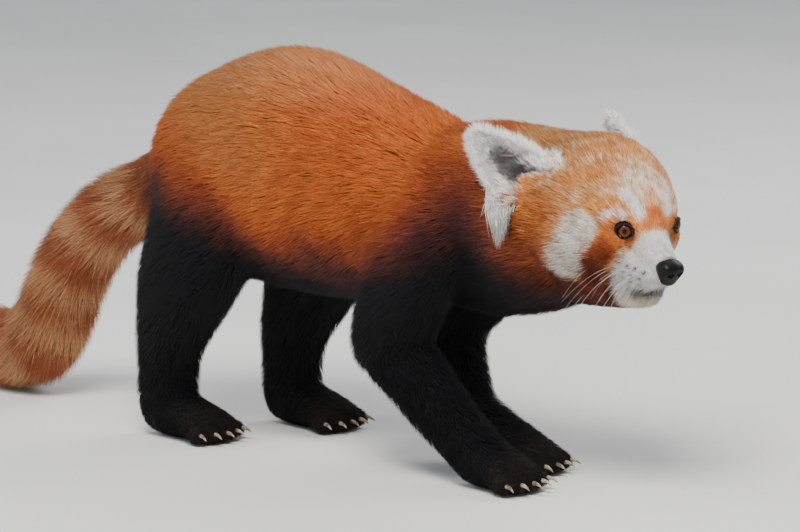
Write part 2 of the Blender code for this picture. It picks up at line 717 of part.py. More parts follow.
def claw(name, frame, home):
    """A curved claw: rings that shrink and drop forward to a point."""
    rings, sides = 3, 5
    bm = bmesh.new()
    loops = []
    for i in range(rings):
        f = i / rings
        middle = Vector((CLAW_LENGTH * (f * 1.25 - 0.25), 0, -CLAW_LENGTH * 0.6 * f * f))
        radius = CLAW_RADIUS * (1 - f) ** 0.7
        ring = []
        for j in range(sides):
            angle = 2 * math.pi * j / sides
            offset = Vector((0, 0.7 * radius * math.cos(angle), radius * math.sin(angle)))
            ring.append(bm.verts.new(frame @ (middle + offset)))
        loops.append(ring)
    tip = bm.verts.new(frame @ Vector((CLAW_LENGTH, 0, -CLAW_LENGTH * 0.6)))
    for low, high in zip(loops, loops[1:]):
        for j in range(sides):
            k = (j + 1) % sides
            bm.faces.new((low[j], low[k], high[k], high[j]))
    for j in range(sides):
        bm.faces.new((loops[-1][j], loops[-1][(j + 1) % sides], tip))
    bm.faces.new(reversed(loops[0]))
    bmesh.ops.recalc_face_normals(bm, faces=bm.faces)
    return helper(new_object(name, bm, home))


def add_all(obj, pieces, home_name):
    """Fuses closed pieces to a node, roots and all, in one union."""
    group = collection(home_name)
    for piece in pieces:
        for home in list(piece.users_collection):
            home.objects.unlink(piece)
        group.objects.link(piece)
    fuse = obj.modifiers.new("fuse", "BOOLEAN")
    fuse.operation = "UNION"
    fuse.operand_type = "COLLECTION"
    fuse.collection = group
    fuse.solver = "MANIFOLD"
    apply_modifiers(obj)
    for piece in list(group.objects):
        bpy.data.objects.remove(piece)
    bpy.data.collections.remove(group)
    return keep_largest(obj)


def toes_and_claws(x, y, length, tools):
    """Round toes with a claw in the upper front of each."""
    made = []
    for frame in toe_frames(x, y, length):
        made.append(helper(sphere_object("toe", frame, TOE_SIZE, tools, 8, 5)))
        root = Matrix.Translation((TOE_SIZE[0] * 0.82, 0, TOE_SIZE[2] * 0.08))
        made.append(claw("claw", frame @ root, tools))
    return made


def above_floor(obj, tools):
    """Cuts off what is below the floor, which leaves the flats that the model stands on."""
    return boolean(obj, block("above_floor", Matrix(), (-1, -1, 0), (1, 1, 1), tools), "INTERSECT")


def part_by_plane(whole, low_name, high_name, frame, home, tools):
    """Two nodes from one, with the gap between them; the high one lies along the frame's +X."""
    ahead = block("ahead", frame, (GAP / 2, -REACH, -REACH), (REACH, REACH, REACH), tools)
    behind = block("behind", frame, (-REACH, -REACH, -REACH), (-GAP / 2, REACH, REACH), tools)
    high = copy_of(whole, high_name, home)
    low = copy_of(whole, low_name, home)
    keep_largest(boolean(high, ahead, "INTERSECT"))
    keep_largest(boolean(low, behind, "INTERSECT"))
    return low, high


UPWARD = math.radians(-90)


def level_frame(z):
    return plane_frame((0, 0, z), UPWARD)


def make_legs(whole, home, tools):
    """The leg nodes, and the grown regions that their neighbours are cut by."""
    spaces = []
    for side in SIDES:
        x, y = FORE_FEET[side]
        masses = foreleg_masses(side) + paw_masses(x + 0.004, y, PAW_LENGTH + 0.012)
        region = leg_region(f"foreleg_region_{side}", side, masses, tools)
        leg = helper(copy_of(whole, "leg", tools))
        keep_largest(boolean(leg, region, "INTERSECT"))
        spaces.append(grown(region, f"foreleg_space_{side}", GAP, tools))
        names = (f"forepaw_{side}", f"foreleg_{side}")
        paw, _ = part_by_plane(leg, *names, level_frame(WRIST_CUT_Z), home, tools)
        thinned(add_all(paw, toes_and_claws(x, y, PAW_LENGTH, tools), "to_fuse"), PAW_TRIANGLES)
        above_floor(paw, tools)

        x, y = HIND_FEET[side]
        masses = hind_masses(side) + paw_masses(x + 0.004, y, FOOT_LENGTH + 0.012)
        region = leg_region(f"hindleg_region_{side}", side, masses, tools)
        leg = helper(copy_of(whole, "leg", tools))
        keep_largest(boolean(leg, region, "INTERSECT"))
        spaces.append(grown(region, f"hindleg_space_{side}", GAP, tools))
        lower, _ = part_by_plane(leg, "lower", f"thigh_{side}", level_frame(KNEE_CUT_Z), home, tools)
        names = (f"hindpaw_{side}", f"shank_{side}")
        paw, _ = part_by_plane(lower, *names, level_frame(HOCK_CUT_Z), home, tools)
        bpy.data.objects.remove(lower)
        thinned(add_all(paw, toes_and_claws(x, y, FOOT_LENGTH, tools), "to_fuse"), PAW_TRIANGLES)
        above_floor(paw, tools)
    return spaces


def make_trunk(whole, spaces, home, tools):
    """The torso and the neck, less the spaces of the legs."""
    trunk = helper(copy_of(whole, "trunk", tools))
    for space in spaces:
        boolean(trunk, space, "DIFFERENCE")
    tail_frame = frame_along(tail_point(TAIL_CUTS[0])[0], tail_direction(TAIL_CUTS[0]))
    before_tail = block("before_tail", tail_frame, (-REACH, -REACH, -REACH), (-GAP / 2, REACH, REACH), tools)
    boolean(trunk, before_tail, "INTERSECT")
    neck_frame = plane_frame(NECK_CUT, NECK_CUT_TILT)
    _, front = part_by_plane(trunk, "torso", "front", neck_frame, home, tools)
    head_plane = plane_frame(HEAD_CUT, HEAD_CUT_TILT)
    _, spare = part_by_plane(front, "neck", "spare", head_plane, home, tools)
    bpy.data.objects.remove(front)
    bpy.data.objects.remove(spare)


def make_tail(whole, home, tools):
    """The tail in lengths, each cut square to its middle line."""
    frames = [frame_along(tail_point(t)[0], tail_direction(t)) for t in TAIL_CUTS]
    after = block("after", frames[0], (GAP / 2, -REACH, -REACH), (REACH, REACH, REACH), tools)
    rest = helper(copy_of(whole, "rest", tools))
    behind_legs = block("behind_legs", frame_along(*TAIL_ROOT_SIDE), (0, -REACH, -REACH), (REACH,) * 3, tools)
    keep_largest(boolean(rest, behind_legs, "INTERSECT"))
    locks = tail_locks(surface_tree(rest), random.Random(SEED), tools)
    thinned(add_all(rest, locks, "locks_to_fuse"), LOCKED_TAIL_TRIANGLES)
    above_floor(rest, tools)
    keep_largest(boolean(rest, after, "INTERSECT"))
    for k, frame in enumerate(frames[1:], 1):
        _, rest = part_by_plane(rest, f"tail_{k}", "beyond", frame, home, tools)
        helper(rest)
    last = copy_of(rest, f"tail_{len(frames)}", home)
    last.hide_render = False
    for leftover in [obj for obj in home.objects if obj.name.startswith("beyond")]:
        bpy.data.objects.remove(leftover)


def make_head(home, tools):
    fine = softened("fine", (front_masses, head_masses), HEAD_VOXEL, HEAD_TRIANGLES, HEAD_ROUNDS, tools)
    helper(fine)
    locks = ruff_locks(surface_tree(fine), random.Random(SEED), tools)
    thinned(add_all(fine, locks, "locks_to_fuse"), RUFFED_HEAD_TRIANGLES)
    frame = plane_frame(HEAD_CUT, HEAD_CUT_TILT)
    ahead = block("head_side", frame, (GAP / 2, -REACH, -REACH), (REACH, REACH, REACH), tools)
    head = copy_of(fine, "head", home)
    keep_largest(boolean(head, ahead, "INTERSECT"))
    pad = nose(home, tools)
    boolean(head, grown(pad, "nose_space", GAP, tools), "DIFFERENCE")
    add_lids_and_sockets(head, tools)
    add_mouth(head, tools)
    keep_largest(head)
    for side in SIDES:
        eye = sphere_object(f"eye_{side}", eye_place(side), (EYE_RADIUS,) * 3, home)
        eye.data.shade_smooth()
        ear(side, (head, home.objects["neck"], home.objects["torso"]), home, tools)


def settle_on_origin(objects):
    """Moves the whole model so that the origin is under the middle of its box, on the floor."""
    corners = np.array([vert.co for obj in objects for vert in obj.data.vertices])
    low, high = corners.min(axis=0), corners.max(axis=0)
    shift = Matrix.Translation((-(low[0] + high[0]) / 2, -(low[1] + high[1]) / 2, -low[2]))
    for obj in objects:
        obj.data.transform(shift)
        obj.data.update()


COLOURS = {
    "red_coat": ((0.42, 0.13, 0.035), 0.9),
    "black_coat": ((0.012, 0.010, 0.012), 0.9),
    "face_coat": ((0.72, 0.52, 0.33), 0.9),
    "white_coat": ((0.80, 0.76, 0.70), 0.9),
    "nose_skin": ((0.012, 0.012, 0.015), 0.35),
    "eye": ((0.03, 0.012, 0.006), 0.08),
}
FINISHES = {"head": "face_coat", "ear": "white_coat", "nose": "nose_skin", "eye": "eye"}
DARK_PARTS = ("foreleg", "forepaw", "thigh", "shank", "hindpaw")


def finish_of(name):
    first = name.split("_")[0]
    return "black_coat" if first in DARK_PARTS else FINISHES.get(first, "red_coat")


def main():
    clear_scene()
    finishes = {name: material(name, *look) for name, look in COLOURS.items()}
    home = collection("red_panda")
    tools = collection("cutters")
    whole = softened("whole", (body_masses, head_masses), BODY_VOXEL, BODY_TRIANGLES, BODY_ROUNDS, tools)
    helper(whole)
    tree, draw = surface_tree(whole), random.Random(SEED)
    locks = underside_locks(tree, draw, THROAT_ROWS, THROAT_LOCK, THROAT_RISE, tools)
    locks += underside_locks(tree, draw, BELLY_ROWS, BELLY_LOCK, BELLY_RISE, tools)
    add_all(whole, locks, "locks_to_fuse")
    spaces = make_legs(whole, home, tools)
    make_trunk(whole, spaces, home, tools)
    make_tail(whole, home, tools)
    make_head(home, tools)
    settle_on_origin(list(home.objects))
    for obj in home.objects:
        obj.data.materials.clear()
        obj.data.materials.append(finishes[finish_of(obj.name)])


main()
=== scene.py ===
"""The red panda's looks: one skin, a coat of mesh tufts, and the eyes, nose, lips, whiskers and claws.

Metres. The head points to +X and the animal's left is +Y, as in the CAD.
"""

import math
import random

import bmesh
import bpy
import numpy as np
from mathutils import Matrix, Vector
from mathutils.bvhtree import BVHTree


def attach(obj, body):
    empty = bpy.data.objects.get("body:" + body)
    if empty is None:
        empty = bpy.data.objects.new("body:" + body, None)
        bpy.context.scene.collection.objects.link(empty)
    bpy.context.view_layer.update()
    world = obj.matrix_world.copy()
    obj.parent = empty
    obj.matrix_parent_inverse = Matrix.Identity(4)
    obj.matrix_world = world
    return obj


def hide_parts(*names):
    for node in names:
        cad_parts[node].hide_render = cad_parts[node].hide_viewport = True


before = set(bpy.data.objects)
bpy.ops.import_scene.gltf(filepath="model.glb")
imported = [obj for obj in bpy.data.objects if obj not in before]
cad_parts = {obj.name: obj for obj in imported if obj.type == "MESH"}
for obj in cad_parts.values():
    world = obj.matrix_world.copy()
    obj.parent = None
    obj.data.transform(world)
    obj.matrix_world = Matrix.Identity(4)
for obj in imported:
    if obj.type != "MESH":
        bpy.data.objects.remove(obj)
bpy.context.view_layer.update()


# Trunk, neck and legs under the coat
# On the real animal this is skin over muscle. Here soft masses are set on named joints, as a
# taxidermist's form is, and each is drawn with the coat on, so that its size is the outline's.
SETTLED = Vector((0.1535, -0.0015, 0.0))
CHEST = ((0.086, 0.0, 0.172), (0.036, 0.050, 0.058))
WITHERS = ((0.040, 0.0, 0.186), (0.050, 0.063, 0.0635))
RIBS = ((-0.035, 0.0, 0.194), (0.055, 0.074, 0.081))
LOIN = ((-0.110, 0.0, 0.205), (0.054, 0.079, 0.091))
RUMP = ((-0.180, 0.0, 0.201), (0.050, 0.070, 0.072))
NAPE = ((0.080, 0.0, 0.197), (0.040, 0.058, 0.060))
NECK_END = ((0.146, -0.002, 0.190), (0.036, 0.058, 0.0645))
FORE_FEET = {-1: (0.102, -0.036), 1: (0.072, 0.025)}
HIND_FEET = {-1: (-0.198, -0.047), 1: (-0.160, 0.047)}
ELBOW_X, WRIST_X = {-1: 0.018, 1: 0.002}, {-1: 0.080, 1: 0.036}
PAW_LENGTH, FOOT_LENGTH, PAW_HALF_WIDTH = 0.036, 0.052, 0.0235
TOES, TOE_FAN, TOE_SIZE = 5, math.radians(14), (0.0125, 0.0064, 0.0088)
SIDES = (-1, 1)
CHAIN_STEPS = 5

sphere = bmesh.new()
bmesh.ops.create_icosphere(sphere, subdivisions=3, radius=1)
SPHERE = [vert.co.copy() for vert in sphere.verts]
sphere.free()


def hull_into(bm, masses, placed=Matrix()):
    """Adds the convex hull of a few ellipsoids, each a centre and three half sizes."""
    added = []
    for centre, half in masses:
        for point in SPHERE:
            added.append(bm.verts.new(placed @ Vector(c + h * p for c, h, p in zip(centre, half, point))))
    found = bmesh.ops.convex_hull(bm, input=added)
    inner = [part for part in found["geom_interior"] if isinstance(part, bmesh.types.BMVert)]
    bmesh.ops.delete(bm, geom=inner, context="VERTS")


def chain_into(bm, masses, placed=Matrix()):
    for pair in zip(masses, masses[1:]):
        hull_into(bm, pair, placed)


def on_curve(rows, t):
    """The row at t, counted in rows, on a smooth curve through them all."""
    last = len(rows) - 1
    i = min(int(t), last - 1)
    f = t - i
    p0, p1, p2, p3 = (np.array(rows[min(max(k, 0), last)]) for k in (i - 1, i, i + 1, i + 2))
    bend = (p2 - p0) * f + (2 * p0 - 5 * p1 + 4 * p2 - p3) * f**2 + (3 * p1 - p0 - 3 * p2 + p3) * f**3
    return p1 + bend / 2


def smooth_chain(masses):
    """More masses between those given, so that the chain bends smoothly."""
    rows = [(*centre, *half) for centre, half in masses]
    places = [on_curve(rows, k / CHAIN_STEPS) for k in range((len(rows) - 1) * CHAIN_STEPS + 1)]
    return [(tuple(row[:3]), tuple(row[3:])) for row in places]


def foreleg(s):
    x, y = FORE_FEET[s]
    shoulder = ((0.046, s * 0.045, 0.170), (0.044, 0.026, 0.056))
    elbow = ((ELBOW_X[s], 0.4 * y + 0.6 * s * 0.045, 0.094), (0.032, 0.026, 0.030))
    wrist = ((WRIST_X[s], y, 0.038), (0.0225, 0.0210, 0.0225))
    return shoulder, elbow, wrist


def hindleg(s):
    x, y = HIND_FEET[s]
    hip = ((-0.150, s * 0.043, 0.182), (0.056, 0.036, 0.052))
    knee = ((x + 0.024, y + s * 0.002, 0.122), (0.046, 0.031, 0.038))
    shin = ((x + 0.002, y, 0.072), (0.030, 0.0245, 0.026))
    hock = ((x - 0.001, y, 0.036), (0.0235, 0.021, 0.024))
    return hip, knee, shin, hock


def paw(x, y, length):
    heel = ((x, y, 0.020), (0.023, 0.0205, 0.0205))
    ball = ((x + length * 0.8, y, 0.0125), (0.017, PAW_HALF_WIDTH, 0.0125))
    return heel, ball


def toe_frames(x, y, length):
    """Where each of the five toes of a foot is, spread in a fan over its front."""
    frames = []
    for k in range(TOES):
        across = 2 * k / (TOES - 1) - 1
        ahead = x + length * 0.8 + 0.0105 - 0.0055 * across * across
        place = (ahead, y + across * (PAW_HALF_WIDTH - 0.0035), TOE_SIZE[2] - 0.0008)
        frames.append(Matrix.Translation(place) @ Matrix.Rotation(across * TOE_FAN, 4, "Z"))
    return frames


form = bmesh.new()
chain_into(form, smooth_chain((CHEST, WITHERS, RIBS, LOIN, RUMP)))
chain_into(form, smooth_chain((RIBS, WITHERS, NAPE, NECK_END)))
hull_into(form, (CHEST, NECK_END))
for s in SIDES:
    for leg, foot, length in ((foreleg(s), FORE_FEET[s], PAW_LENGTH), (hindleg(s), HIND_FEET[s], FOOT_LENGTH)):
        chain_into(form, leg)
        hull_into(form, (leg[-1], paw(*foot, length)[0]))
        hull_into(form, paw(*foot, length))
        for placed in toe_frames(*foot, length):
            hull_into(form, (((0, 0, 0), TOE_SIZE),), placed)


# Tail under the coat
# A thin bare tail inside a thick brush. The form follows the tail's middle line and is as thick as the
# brush, and the coat's depth is then taken off it as it is off the body.
TAIL_LINE = (
    (-0.205, 0.0, 0.196),
    (-0.262, 0.0, 0.172),
    (-0.306, 0.0, 0.149),
    (-0.344, 0.0, 0.110),
    (-0.364, 0.0, 0.073),
    (-0.385, 0.002, 0.042),
    (-0.425, 0.008, 0.0315),
    (-0.470, 0.018, 0.0290),
    (-0.514, 0.031, 0.0250),
    (-0.548, 0.044, 0.0175),
)
TAIL_RADII = (0.033, 0.032, 0.0325, 0.034, 0.034, 0.034, 0.034, 0.032, 0.028, 0.019)


def tail_row(t):
    return on_curve([(*place, radius) for place, radius in zip(TAIL_LINE, TAIL_RADII)], t)


TAIL_STEPS = 72
tail_rows = np.array([tail_row(t) for t in np.linspace(0, len(TAIL_LINE) - 1, TAIL_STEPS + 1)])
chain_into(form, [(tuple(row[:3]), (row[3],) * 3) for row in tail_rows[::2]])


# Head and ears under the coat
# Skull, brow, muzzle, jaw and cheeks, in the head's own frame: its origin is just under the middle
# between the eyes and its +X is the way the face points. Each ear is a leaf-shaped cup of gristle.
EYES_AT, HEAD_TURN, HEAD_BOW = (0.2316, -0.010, 0.191), math.radians(-10), math.radians(17)
HEAD = Matrix.Translation(EYES_AT) @ Matrix.Rotation(HEAD_TURN, 4, "Z") @ Matrix.Rotation(HEAD_BOW, 4, "Y")
EYE_SIDE, EYE_UP, EYE_RADIUS, LID_PROUD = 0.0232, 0.0035, 0.0078, 0.0012
EYE_TURN, EYE_LIFT, EYE_DEPTH = math.radians(30), math.radians(6), 0.0058
EYE_WIDE, EYE_HIGH, EYE_OUT = 0.0057, 0.0048, 0.0010
EAR_LONG, EAR_BROAD = 0.94, 0.84
EAR_TIP = Vector((-0.133, 0.064, 0.028))
EAR_FRONT_EDGE, EAR_BACK_EDGE = Vector((-0.062, 0.038, 0.030)), Vector((-0.088, 0.065, -0.010))
EAR_ROOT_AT, EAR_ROOT, EAR_ROUND_TIP = Vector((-0.058, 0.030, 0.004)), -0.30, 0.985
EAR_THICKNESS, EAR_CUP = 0.0044, 0.013
EAR_FOOT = (EAR_FRONT_EDGE + EAR_BACK_EDGE) / 2
EAR_ALONG, EAR_HALF = EAR_TIP - EAR_FOOT, (EAR_FRONT_EDGE - EAR_BACK_EDGE) / 2
EAR_OPENING = EAR_ALONG.cross(EAR_HALF).normalized()

skull = ((-0.058, 0.0, -0.002), (0.050, 0.055, 0.051))
forehead = ((-0.028, 0.0, 0.003), (0.031, 0.041, 0.033))
brow = ((-0.006, 0.0, 0.003), (0.012, 0.027, 0.014))
bridge = ((-0.004, 0.0, -0.004), (0.013, 0.0165, 0.012))
bridge_end = ((0.0190, 0.0, -0.0125), (0.008, 0.0105, 0.0070))
muzzle = ((-0.012, 0.0, -0.024), (0.023, 0.028, 0.020))
muzzle_end = ((0.0165, 0.0, -0.0250), (0.0105, 0.0155, 0.0110))
jaw = ((-0.034, 0.0, -0.047), (0.029, 0.035, 0.022))
chin = ((0.0125, 0.0, -0.0415), (0.0105, 0.0120, 0.0075))
throat = ((-0.070, 0.0, -0.050), (0.040, 0.046, 0.030))
for masses in (
    (skull, forehead),
    (forehead, brow),
    (bridge, bridge_end),
    (muzzle, muzzle_end),
    (jaw, chin),
    (skull, throat, jaw),
):
    hull_into(form, masses, HEAD)
skull_at = HEAD @ Vector(skull[0])
hull_into(form, (NECK_END, (tuple(skull_at), (0.046, 0.052, 0.050))))
for s in SIDES:
    cheek = ((-0.046, s * 0.029, -0.019), (0.032, 0.031, 0.030))
    under_eye = ((-0.012, s * 0.021, -0.008), (0.015, 0.014, 0.016))
    hull_into(form, (cheek, under_eye), HEAD)


def eye_frame(s):
    """The middle of an eyeball, with +X the way that its opening faces."""
    look = Matrix.Rotation(s * EYE_TURN, 4, "Z") @ Matrix.Rotation(-EYE_LIFT, 4, "Y")
    return HEAD @ Matrix.Translation((0, s * EYE_SIDE, EYE_UP)) @ look @ Matrix.Translation((-EYE_DEPTH, 0, 0))


for s in SIDES:
    hull_into(form, (((0, 0, 0), (EYE_RADIUS + LID_PROUD,) * 3),), eye_frame(s))


def ear_place(u, v):
    """A place on the left ear's middle sheet in the head's frame: u from foot to tip, v across it."""
    width = (1 - max(u, 0) ** 1.7) ** 0.75
    hollow = EAR_CUP * (1 - v * v) * (1 - 0.75 * max(u, 0))
    place = EAR_FOOT + EAR_ALONG * (EAR_LONG * max(u, 0)) + EAR_HALF * (EAR_BROAD * v * width)
    place -= EAR_OPENING * hollow
    return place.lerp(EAR_ROOT_AT, 0.8 * min(u / EAR_ROOT, 1) if u < 0 else 0)


def in_scene(name, data):
    """A new object in the scene."""
    made = bpy.data.objects.new(name, data)
    bpy.context.scene.collection.objects.link(made)
    return made


def mesh_from(name, bm):
    mesh = bpy.data.meshes.new(name)
    bm.to_mesh(mesh)
    bm.free()
    return mesh


def made_by_modifiers(piece):
    """A new mesh of what a piece's modifiers make of it."""
    bpy.context.view_layer.update()
    return bpy.data.meshes.new_from_object(piece.evaluated_get(bpy.context.evaluated_depsgraph_get()))


def in_head(s, place):
    """A place of the head's left half on side s, in the model's coordinates."""
    return HEAD @ Vector((place[0], s * place[1], place[2]))


EAR_ROWS, EAR_COLUMNS = 18, 12
for s in SIDES:
    leaf = bmesh.new()
    grid = []
    for i in range(EAR_ROWS + 1):
        u = EAR_ROOT + (EAR_ROUND_TIP - EAR_ROOT) * i / EAR_ROWS
        row = [ear_place(u, 2 * j / EAR_COLUMNS - 1) for j in range(EAR_COLUMNS + 1)]
        grid.append([leaf.verts.new(in_head(s, place)) for place in row])
    for low, high in zip(grid, grid[1:]):
        for j in range(EAR_COLUMNS):
            leaf.faces.new((low[j], low[j + 1], high[j + 1], high[j]))
    bmesh.ops.recalc_face_normals(leaf, faces=leaf.faces)
    cup = in_scene("cup", mesh_from("leaf", leaf))
    wall = cup.modifiers.new("wall", "SOLIDIFY")
    wall.thickness, wall.offset = EAR_THICKNESS, 0
    form.from_mesh(made_by_modifiers(cup))
    bpy.data.objects.remove(cup)


# The lie and length of the coat
# Long flat guard hair on the body, shorter on the head and feet, a brush on the tail. For any place
# near the animal this says which way the coat lies, how long and wide a tuft is, and how deep it is.
HEAD_TURNED = np.array(HEAD.to_3x3())
HEAD_AT = np.array(EYES_AT)
NOSE_TIP = np.array((0.026, 0.0, -0.016))
HEAD_CUT, HEAD_WAY = (0.138, 0.19), (0.988, 0.156)
TAIL_START_X, TAIL_CORE, TAIL_ROOT_FILLED = -0.222, 0.66, 1.1
LEG_HAIR, LEG_HAIR_WIDTH, LEG_COAT_DEPTH = 0.0135, 0.00105, 0.0052
EAR_HAIR, EAR_HAIR_WIDTH, EAR_COAT_DEPTH = 0.0085, 0.0007, 0.0009
FROM_NOSE = (0.008, 0.028, 0.045, 0.065, 0.090, 0.115)
FACE_HAIR = (0.0028, 0.0050, 0.0075, 0.0120, 0.0155, 0.019)
FACE_HAIR_WIDTHS = (0.0005, 0.0006, 0.0008, 0.0011, 0.0013, 0.0016)
FACE_COAT_DEPTHS = (0.0006, 0.0012, 0.0022, 0.0042, 0.0058, 0.0075)


def ramp(values, low, high):
    """0 up to the low value, 1 from the high one on, and smooth between."""
    t = np.clip((values - low) / (high - low), 0, 1)
    return t * t * (3 - 2 * t)


def unit(vectors):
    return vectors / np.maximum(np.linalg.norm(vectors, axis=1, keepdims=True), 1e-9)


def between(first, second, share):
    """First where share is 0, second where it is 1, row by row."""
    return first + (second - first) * (share[:, None] if np.ndim(first) == 2 else share)


def on_face(places):
    """The places in the head's own frame."""
    return (places - HEAD_AT) @ HEAD_TURNED


def past_neck(places):
    """How far each place is ahead of the plane between the neck and the head."""
    return (places[:, 0] - HEAD_CUT[0]) * HEAD_WAY[0] + (places[:, 2] - HEAD_CUT[1]) * HEAD_WAY[1]


def nearest_on(line, places):
    """For each place: how far along a line of points its nearest spot is, how far off, and the line's way."""
    start, step = line[:-1], line[1:] - line[:-1]
    along = np.einsum("nkj,kj->nk", places[:, None] - start, step) / (step**2).sum(1)
    along = np.clip(along, 0, 1)
    off = np.linalg.norm(places[:, None] - (start + along[..., None] * step), axis=2)
    nearest = off.argmin(1)
    rows = np.arange(len(places))
    return nearest + along[rows, nearest], off[rows, nearest], unit(step)[nearest]


LEG_LINES = []
for s in SIDES:
    for leg, (x, y), length in ((foreleg(s), FORE_FEET[s], PAW_LENGTH), (hindleg(s), HIND_FEET[s], FOOT_LENGTH)):
        line = [centre for centre, _ in leg] + [(x, y, 0.020), (x + length, y, 0.008)]
        radii = [max(half[0], half[1]) for _, half in leg] + [0.023, 0.024]
        LEG_LINES.append((np.array(line), np.array(radii)))

ear_spots = [(u, v) for u in np.linspace(-0.1, 0.98, 16) for v in np.linspace(-1, 1, 11)]
EAR_SHEET = np.array([ear_place(u, v) for u, v in ear_spots])
EAR_U, EAR_V = np.array(ear_spots).T


def ear_of(face):
    """How much of an ear each place is, where on it, how far inside the cup, and whether one is near."""
    mirrored = np.stack((face[:, 0], np.abs(face[:, 1]), face[:, 2]), axis=1)
    off = np.full(len(face), 1.0)
    nearest = np.zeros(len(face), int)
    close = np.flatnonzero((face[:, 0] < -0.05) & (np.abs(face[:, 1]) > 0.025))
    if len(close):
        apart = np.linalg.norm(mirrored[close, None] - EAR_SHEET, axis=2)
        nearest[close] = apart.argmin(1)
        off[close] = apart.min(1)
    inside = (mirrored - EAR_SHEET[nearest]) @ np.array(EAR_OPENING)
    much = ramp(-off, -0.0075, -0.0045) * ramp(EAR_U[nearest], -0.10, 0.02)
    return much, EAR_U[nearest], EAR_V[nearest], inside, ramp(-off, -0.018, -0.009)


def coat_at(places):
    """The coat's heading, length, tuft width and depth at each place."""
    x, _, z = places.T
    count = len(places)
    heading = np.tile((-1.0, 0.0, -0.22), (count, 1))
    heading[:, 2] -= 0.35 * ramp(-z, -0.22, -0.12)
    heading = between(heading, np.array((-0.75, 0.0, -0.75)), ramp(-x, 0.13, 0.20))
    length = 0.0175 + 0.006 * ramp(-z, -0.16, -0.12)
    width = np.full(count, 0.00130)
    depth = np.full(count, 0.0062)
    for line, radii in LEG_LINES:
        along, off, way = nearest_on(line, places)
        radius = np.interp(along, np.arange(len(radii)), radii)
        much = ramp(-off / radius, -1.30, -1.05) * ramp(-z, -0.155, -0.105)
        heading = between(heading, way + np.array((-0.15, 0, -0.1)), much)
        length = between(length, LEG_HAIR - 0.006 * ramp(-z, -0.05, -0.02), much)
        width = between(width, LEG_HAIR_WIDTH, much)
        depth = between(depth, LEG_COAT_DEPTH - 0.0034 * ramp(-z, -0.055, -0.02), much)
    along, off, way = nearest_on(tail_rows[:, :3], places)
    tail = ramp(-x, -TAIL_START_X, 0.250)
    radius = np.interp(along, np.arange(len(tail_rows)), tail_rows[:, 3])
    heading = between(heading, way, tail)
    length = between(length, np.where(along > 66, 0.024, 0.034), tail)
    width = between(width, 0.0013, tail)
    tail_depth = radius * (1 - TAIL_CORE) * np.clip(along / 8 / TAIL_ROOT_FILLED, 0.0, 1) + 0.003
    depth = between(depth, np.maximum(tail_depth, 0.007 * (1 - ramp(along, 4, 12))), tail)

    face = on_face(places)
    head = ramp(past_neck(places), -0.030, 0.012)
    from_nose = np.linalg.norm(face - NOSE_TIP, axis=1)
    away = unit(face - NOSE_TIP)
    away[:, 0] -= 0.25 + 0.6 * ramp(from_nose, 0.05, 0.10)
    away[:, 2] -= 0.45 * ramp(from_nose, 0.045, 0.085) * ramp(-face[:, 2], -0.030, 0.010)
    heading = between(heading, away @ HEAD_TURNED.T, head)
    length = between(length, np.interp(from_nose, FROM_NOSE, FACE_HAIR), head)
    width = between(width, np.interp(from_nose, FROM_NOSE, FACE_HAIR_WIDTHS), head)
    depth = between(depth, np.interp(from_nose, FROM_NOSE, FACE_COAT_DEPTHS), head)
    beard = head * ramp(-face[:, 2], 0.026, 0.034) * ramp(face[:, 0], -0.020, -0.002)
    heading = between(heading, np.array((-0.42, 0.0, -0.85)) @ HEAD_TURNED.T, 0.85 * beard)
    length = between(length, 0.0075, beard)
    chin_tip = ramp(face[:, 0], 0.004, 0.018) * ramp(-face[:, 2], 0.036, 0.042)
    depth = between(depth, 0.0026 + 0.0018 * chin_tip, beard)
    crown = head * ramp(face[:, 2], 0.010, 0.030)
    length = between(length, length * 0.75, crown)
    depth = between(depth, depth * 0.72, crown)

    ear, u, v, inside, near = ear_of(face)
    length = between(length, 0.0065, near * head * (inside > 0))
    outward = np.array(EAR_ALONG.normalized()) + v[:, None] * np.array(EAR_HALF.normalized()) * 0.9
    outward[:, 1] *= np.where(face[:, 1] < 0, -1, 1)
    heading = between(heading, outward @ HEAD_TURNED.T, ear)
    length = between(length, EAR_HAIR, ear)
    width = between(width, EAR_HAIR_WIDTH, ear)
    depth = between(depth, EAR_COAT_DEPTH, ear)
    return unit(heading), length, width, depth


# The markings
# Rust red above, black below and on the legs; a white face with a rust track from each eye to the
# corner of the mouth; white ears; a tail ringed in buff and red brown. Painted light as well: a
# painted highlight along the top of the back, painted shade in the hollow of each ear's cup, along
# the mouth, partly between the strands of the cheek patch and, with the grey tips of its hair, at the chin.
def shade(red, green, blue):
    """A colour as it is seen, from 0 to 255, as the light that it reflects."""
    seen = [c / 255 for c in (red, green, blue)]
    return np.array([c / 12.92 if c < 0.04045 else ((c + 0.055) / 1.055) ** 2.4 for c in seen])


RUST, DEEP_RUST, MAROON = shade(208, 100, 34), shade(160, 68, 32), shade(84, 36, 30)
BLACK, TOE_BROWN = shade(14, 12, 16), shade(34, 25, 22)
GOLD, CROWN, CREAM = shade(214, 134, 66), shade(208, 130, 66), shade(242, 220, 192)
PEACH_HIGHLIGHT = shade(234, 156, 102)
WHITE, CHEEK_GREY, WARM_WHITE = shade(240, 236, 232), shade(172, 158, 144), shade(232, 218, 198)
ORANGE, CHESTNUT, DARK_CHESTNUT = shade(196, 106, 42), shade(138, 58, 24), shade(84, 32, 18)
EAR_HOLLOW_SHADE, EAR_BACK = shade(52, 50, 52), shade(120, 66, 50)
BUFF, RING_RED, TAIL_TIP = shade(214, 150, 100), shade(164, 84, 46), shade(92, 46, 30)
RINGS, RING_UNEVEN = 12 / 1.35, 0.7
EDGE_X = (-0.20, -0.14, -0.085, -0.01, 0.039, 0.070, 0.095, 0.12, 0.14, 0.16, 0.19)
EDGE_Z = (0.186, 0.168, 0.140, 0.134, 0.144, 0.172, 0.184, 0.168, 0.156, 0.146, 0.138)
MOUTH_LINE = np.array(((0, 0, -0.0355), (0, 0.009, -0.0385), (0, 0.0160, -0.0415), (0, 0.0195, -0.0425)))
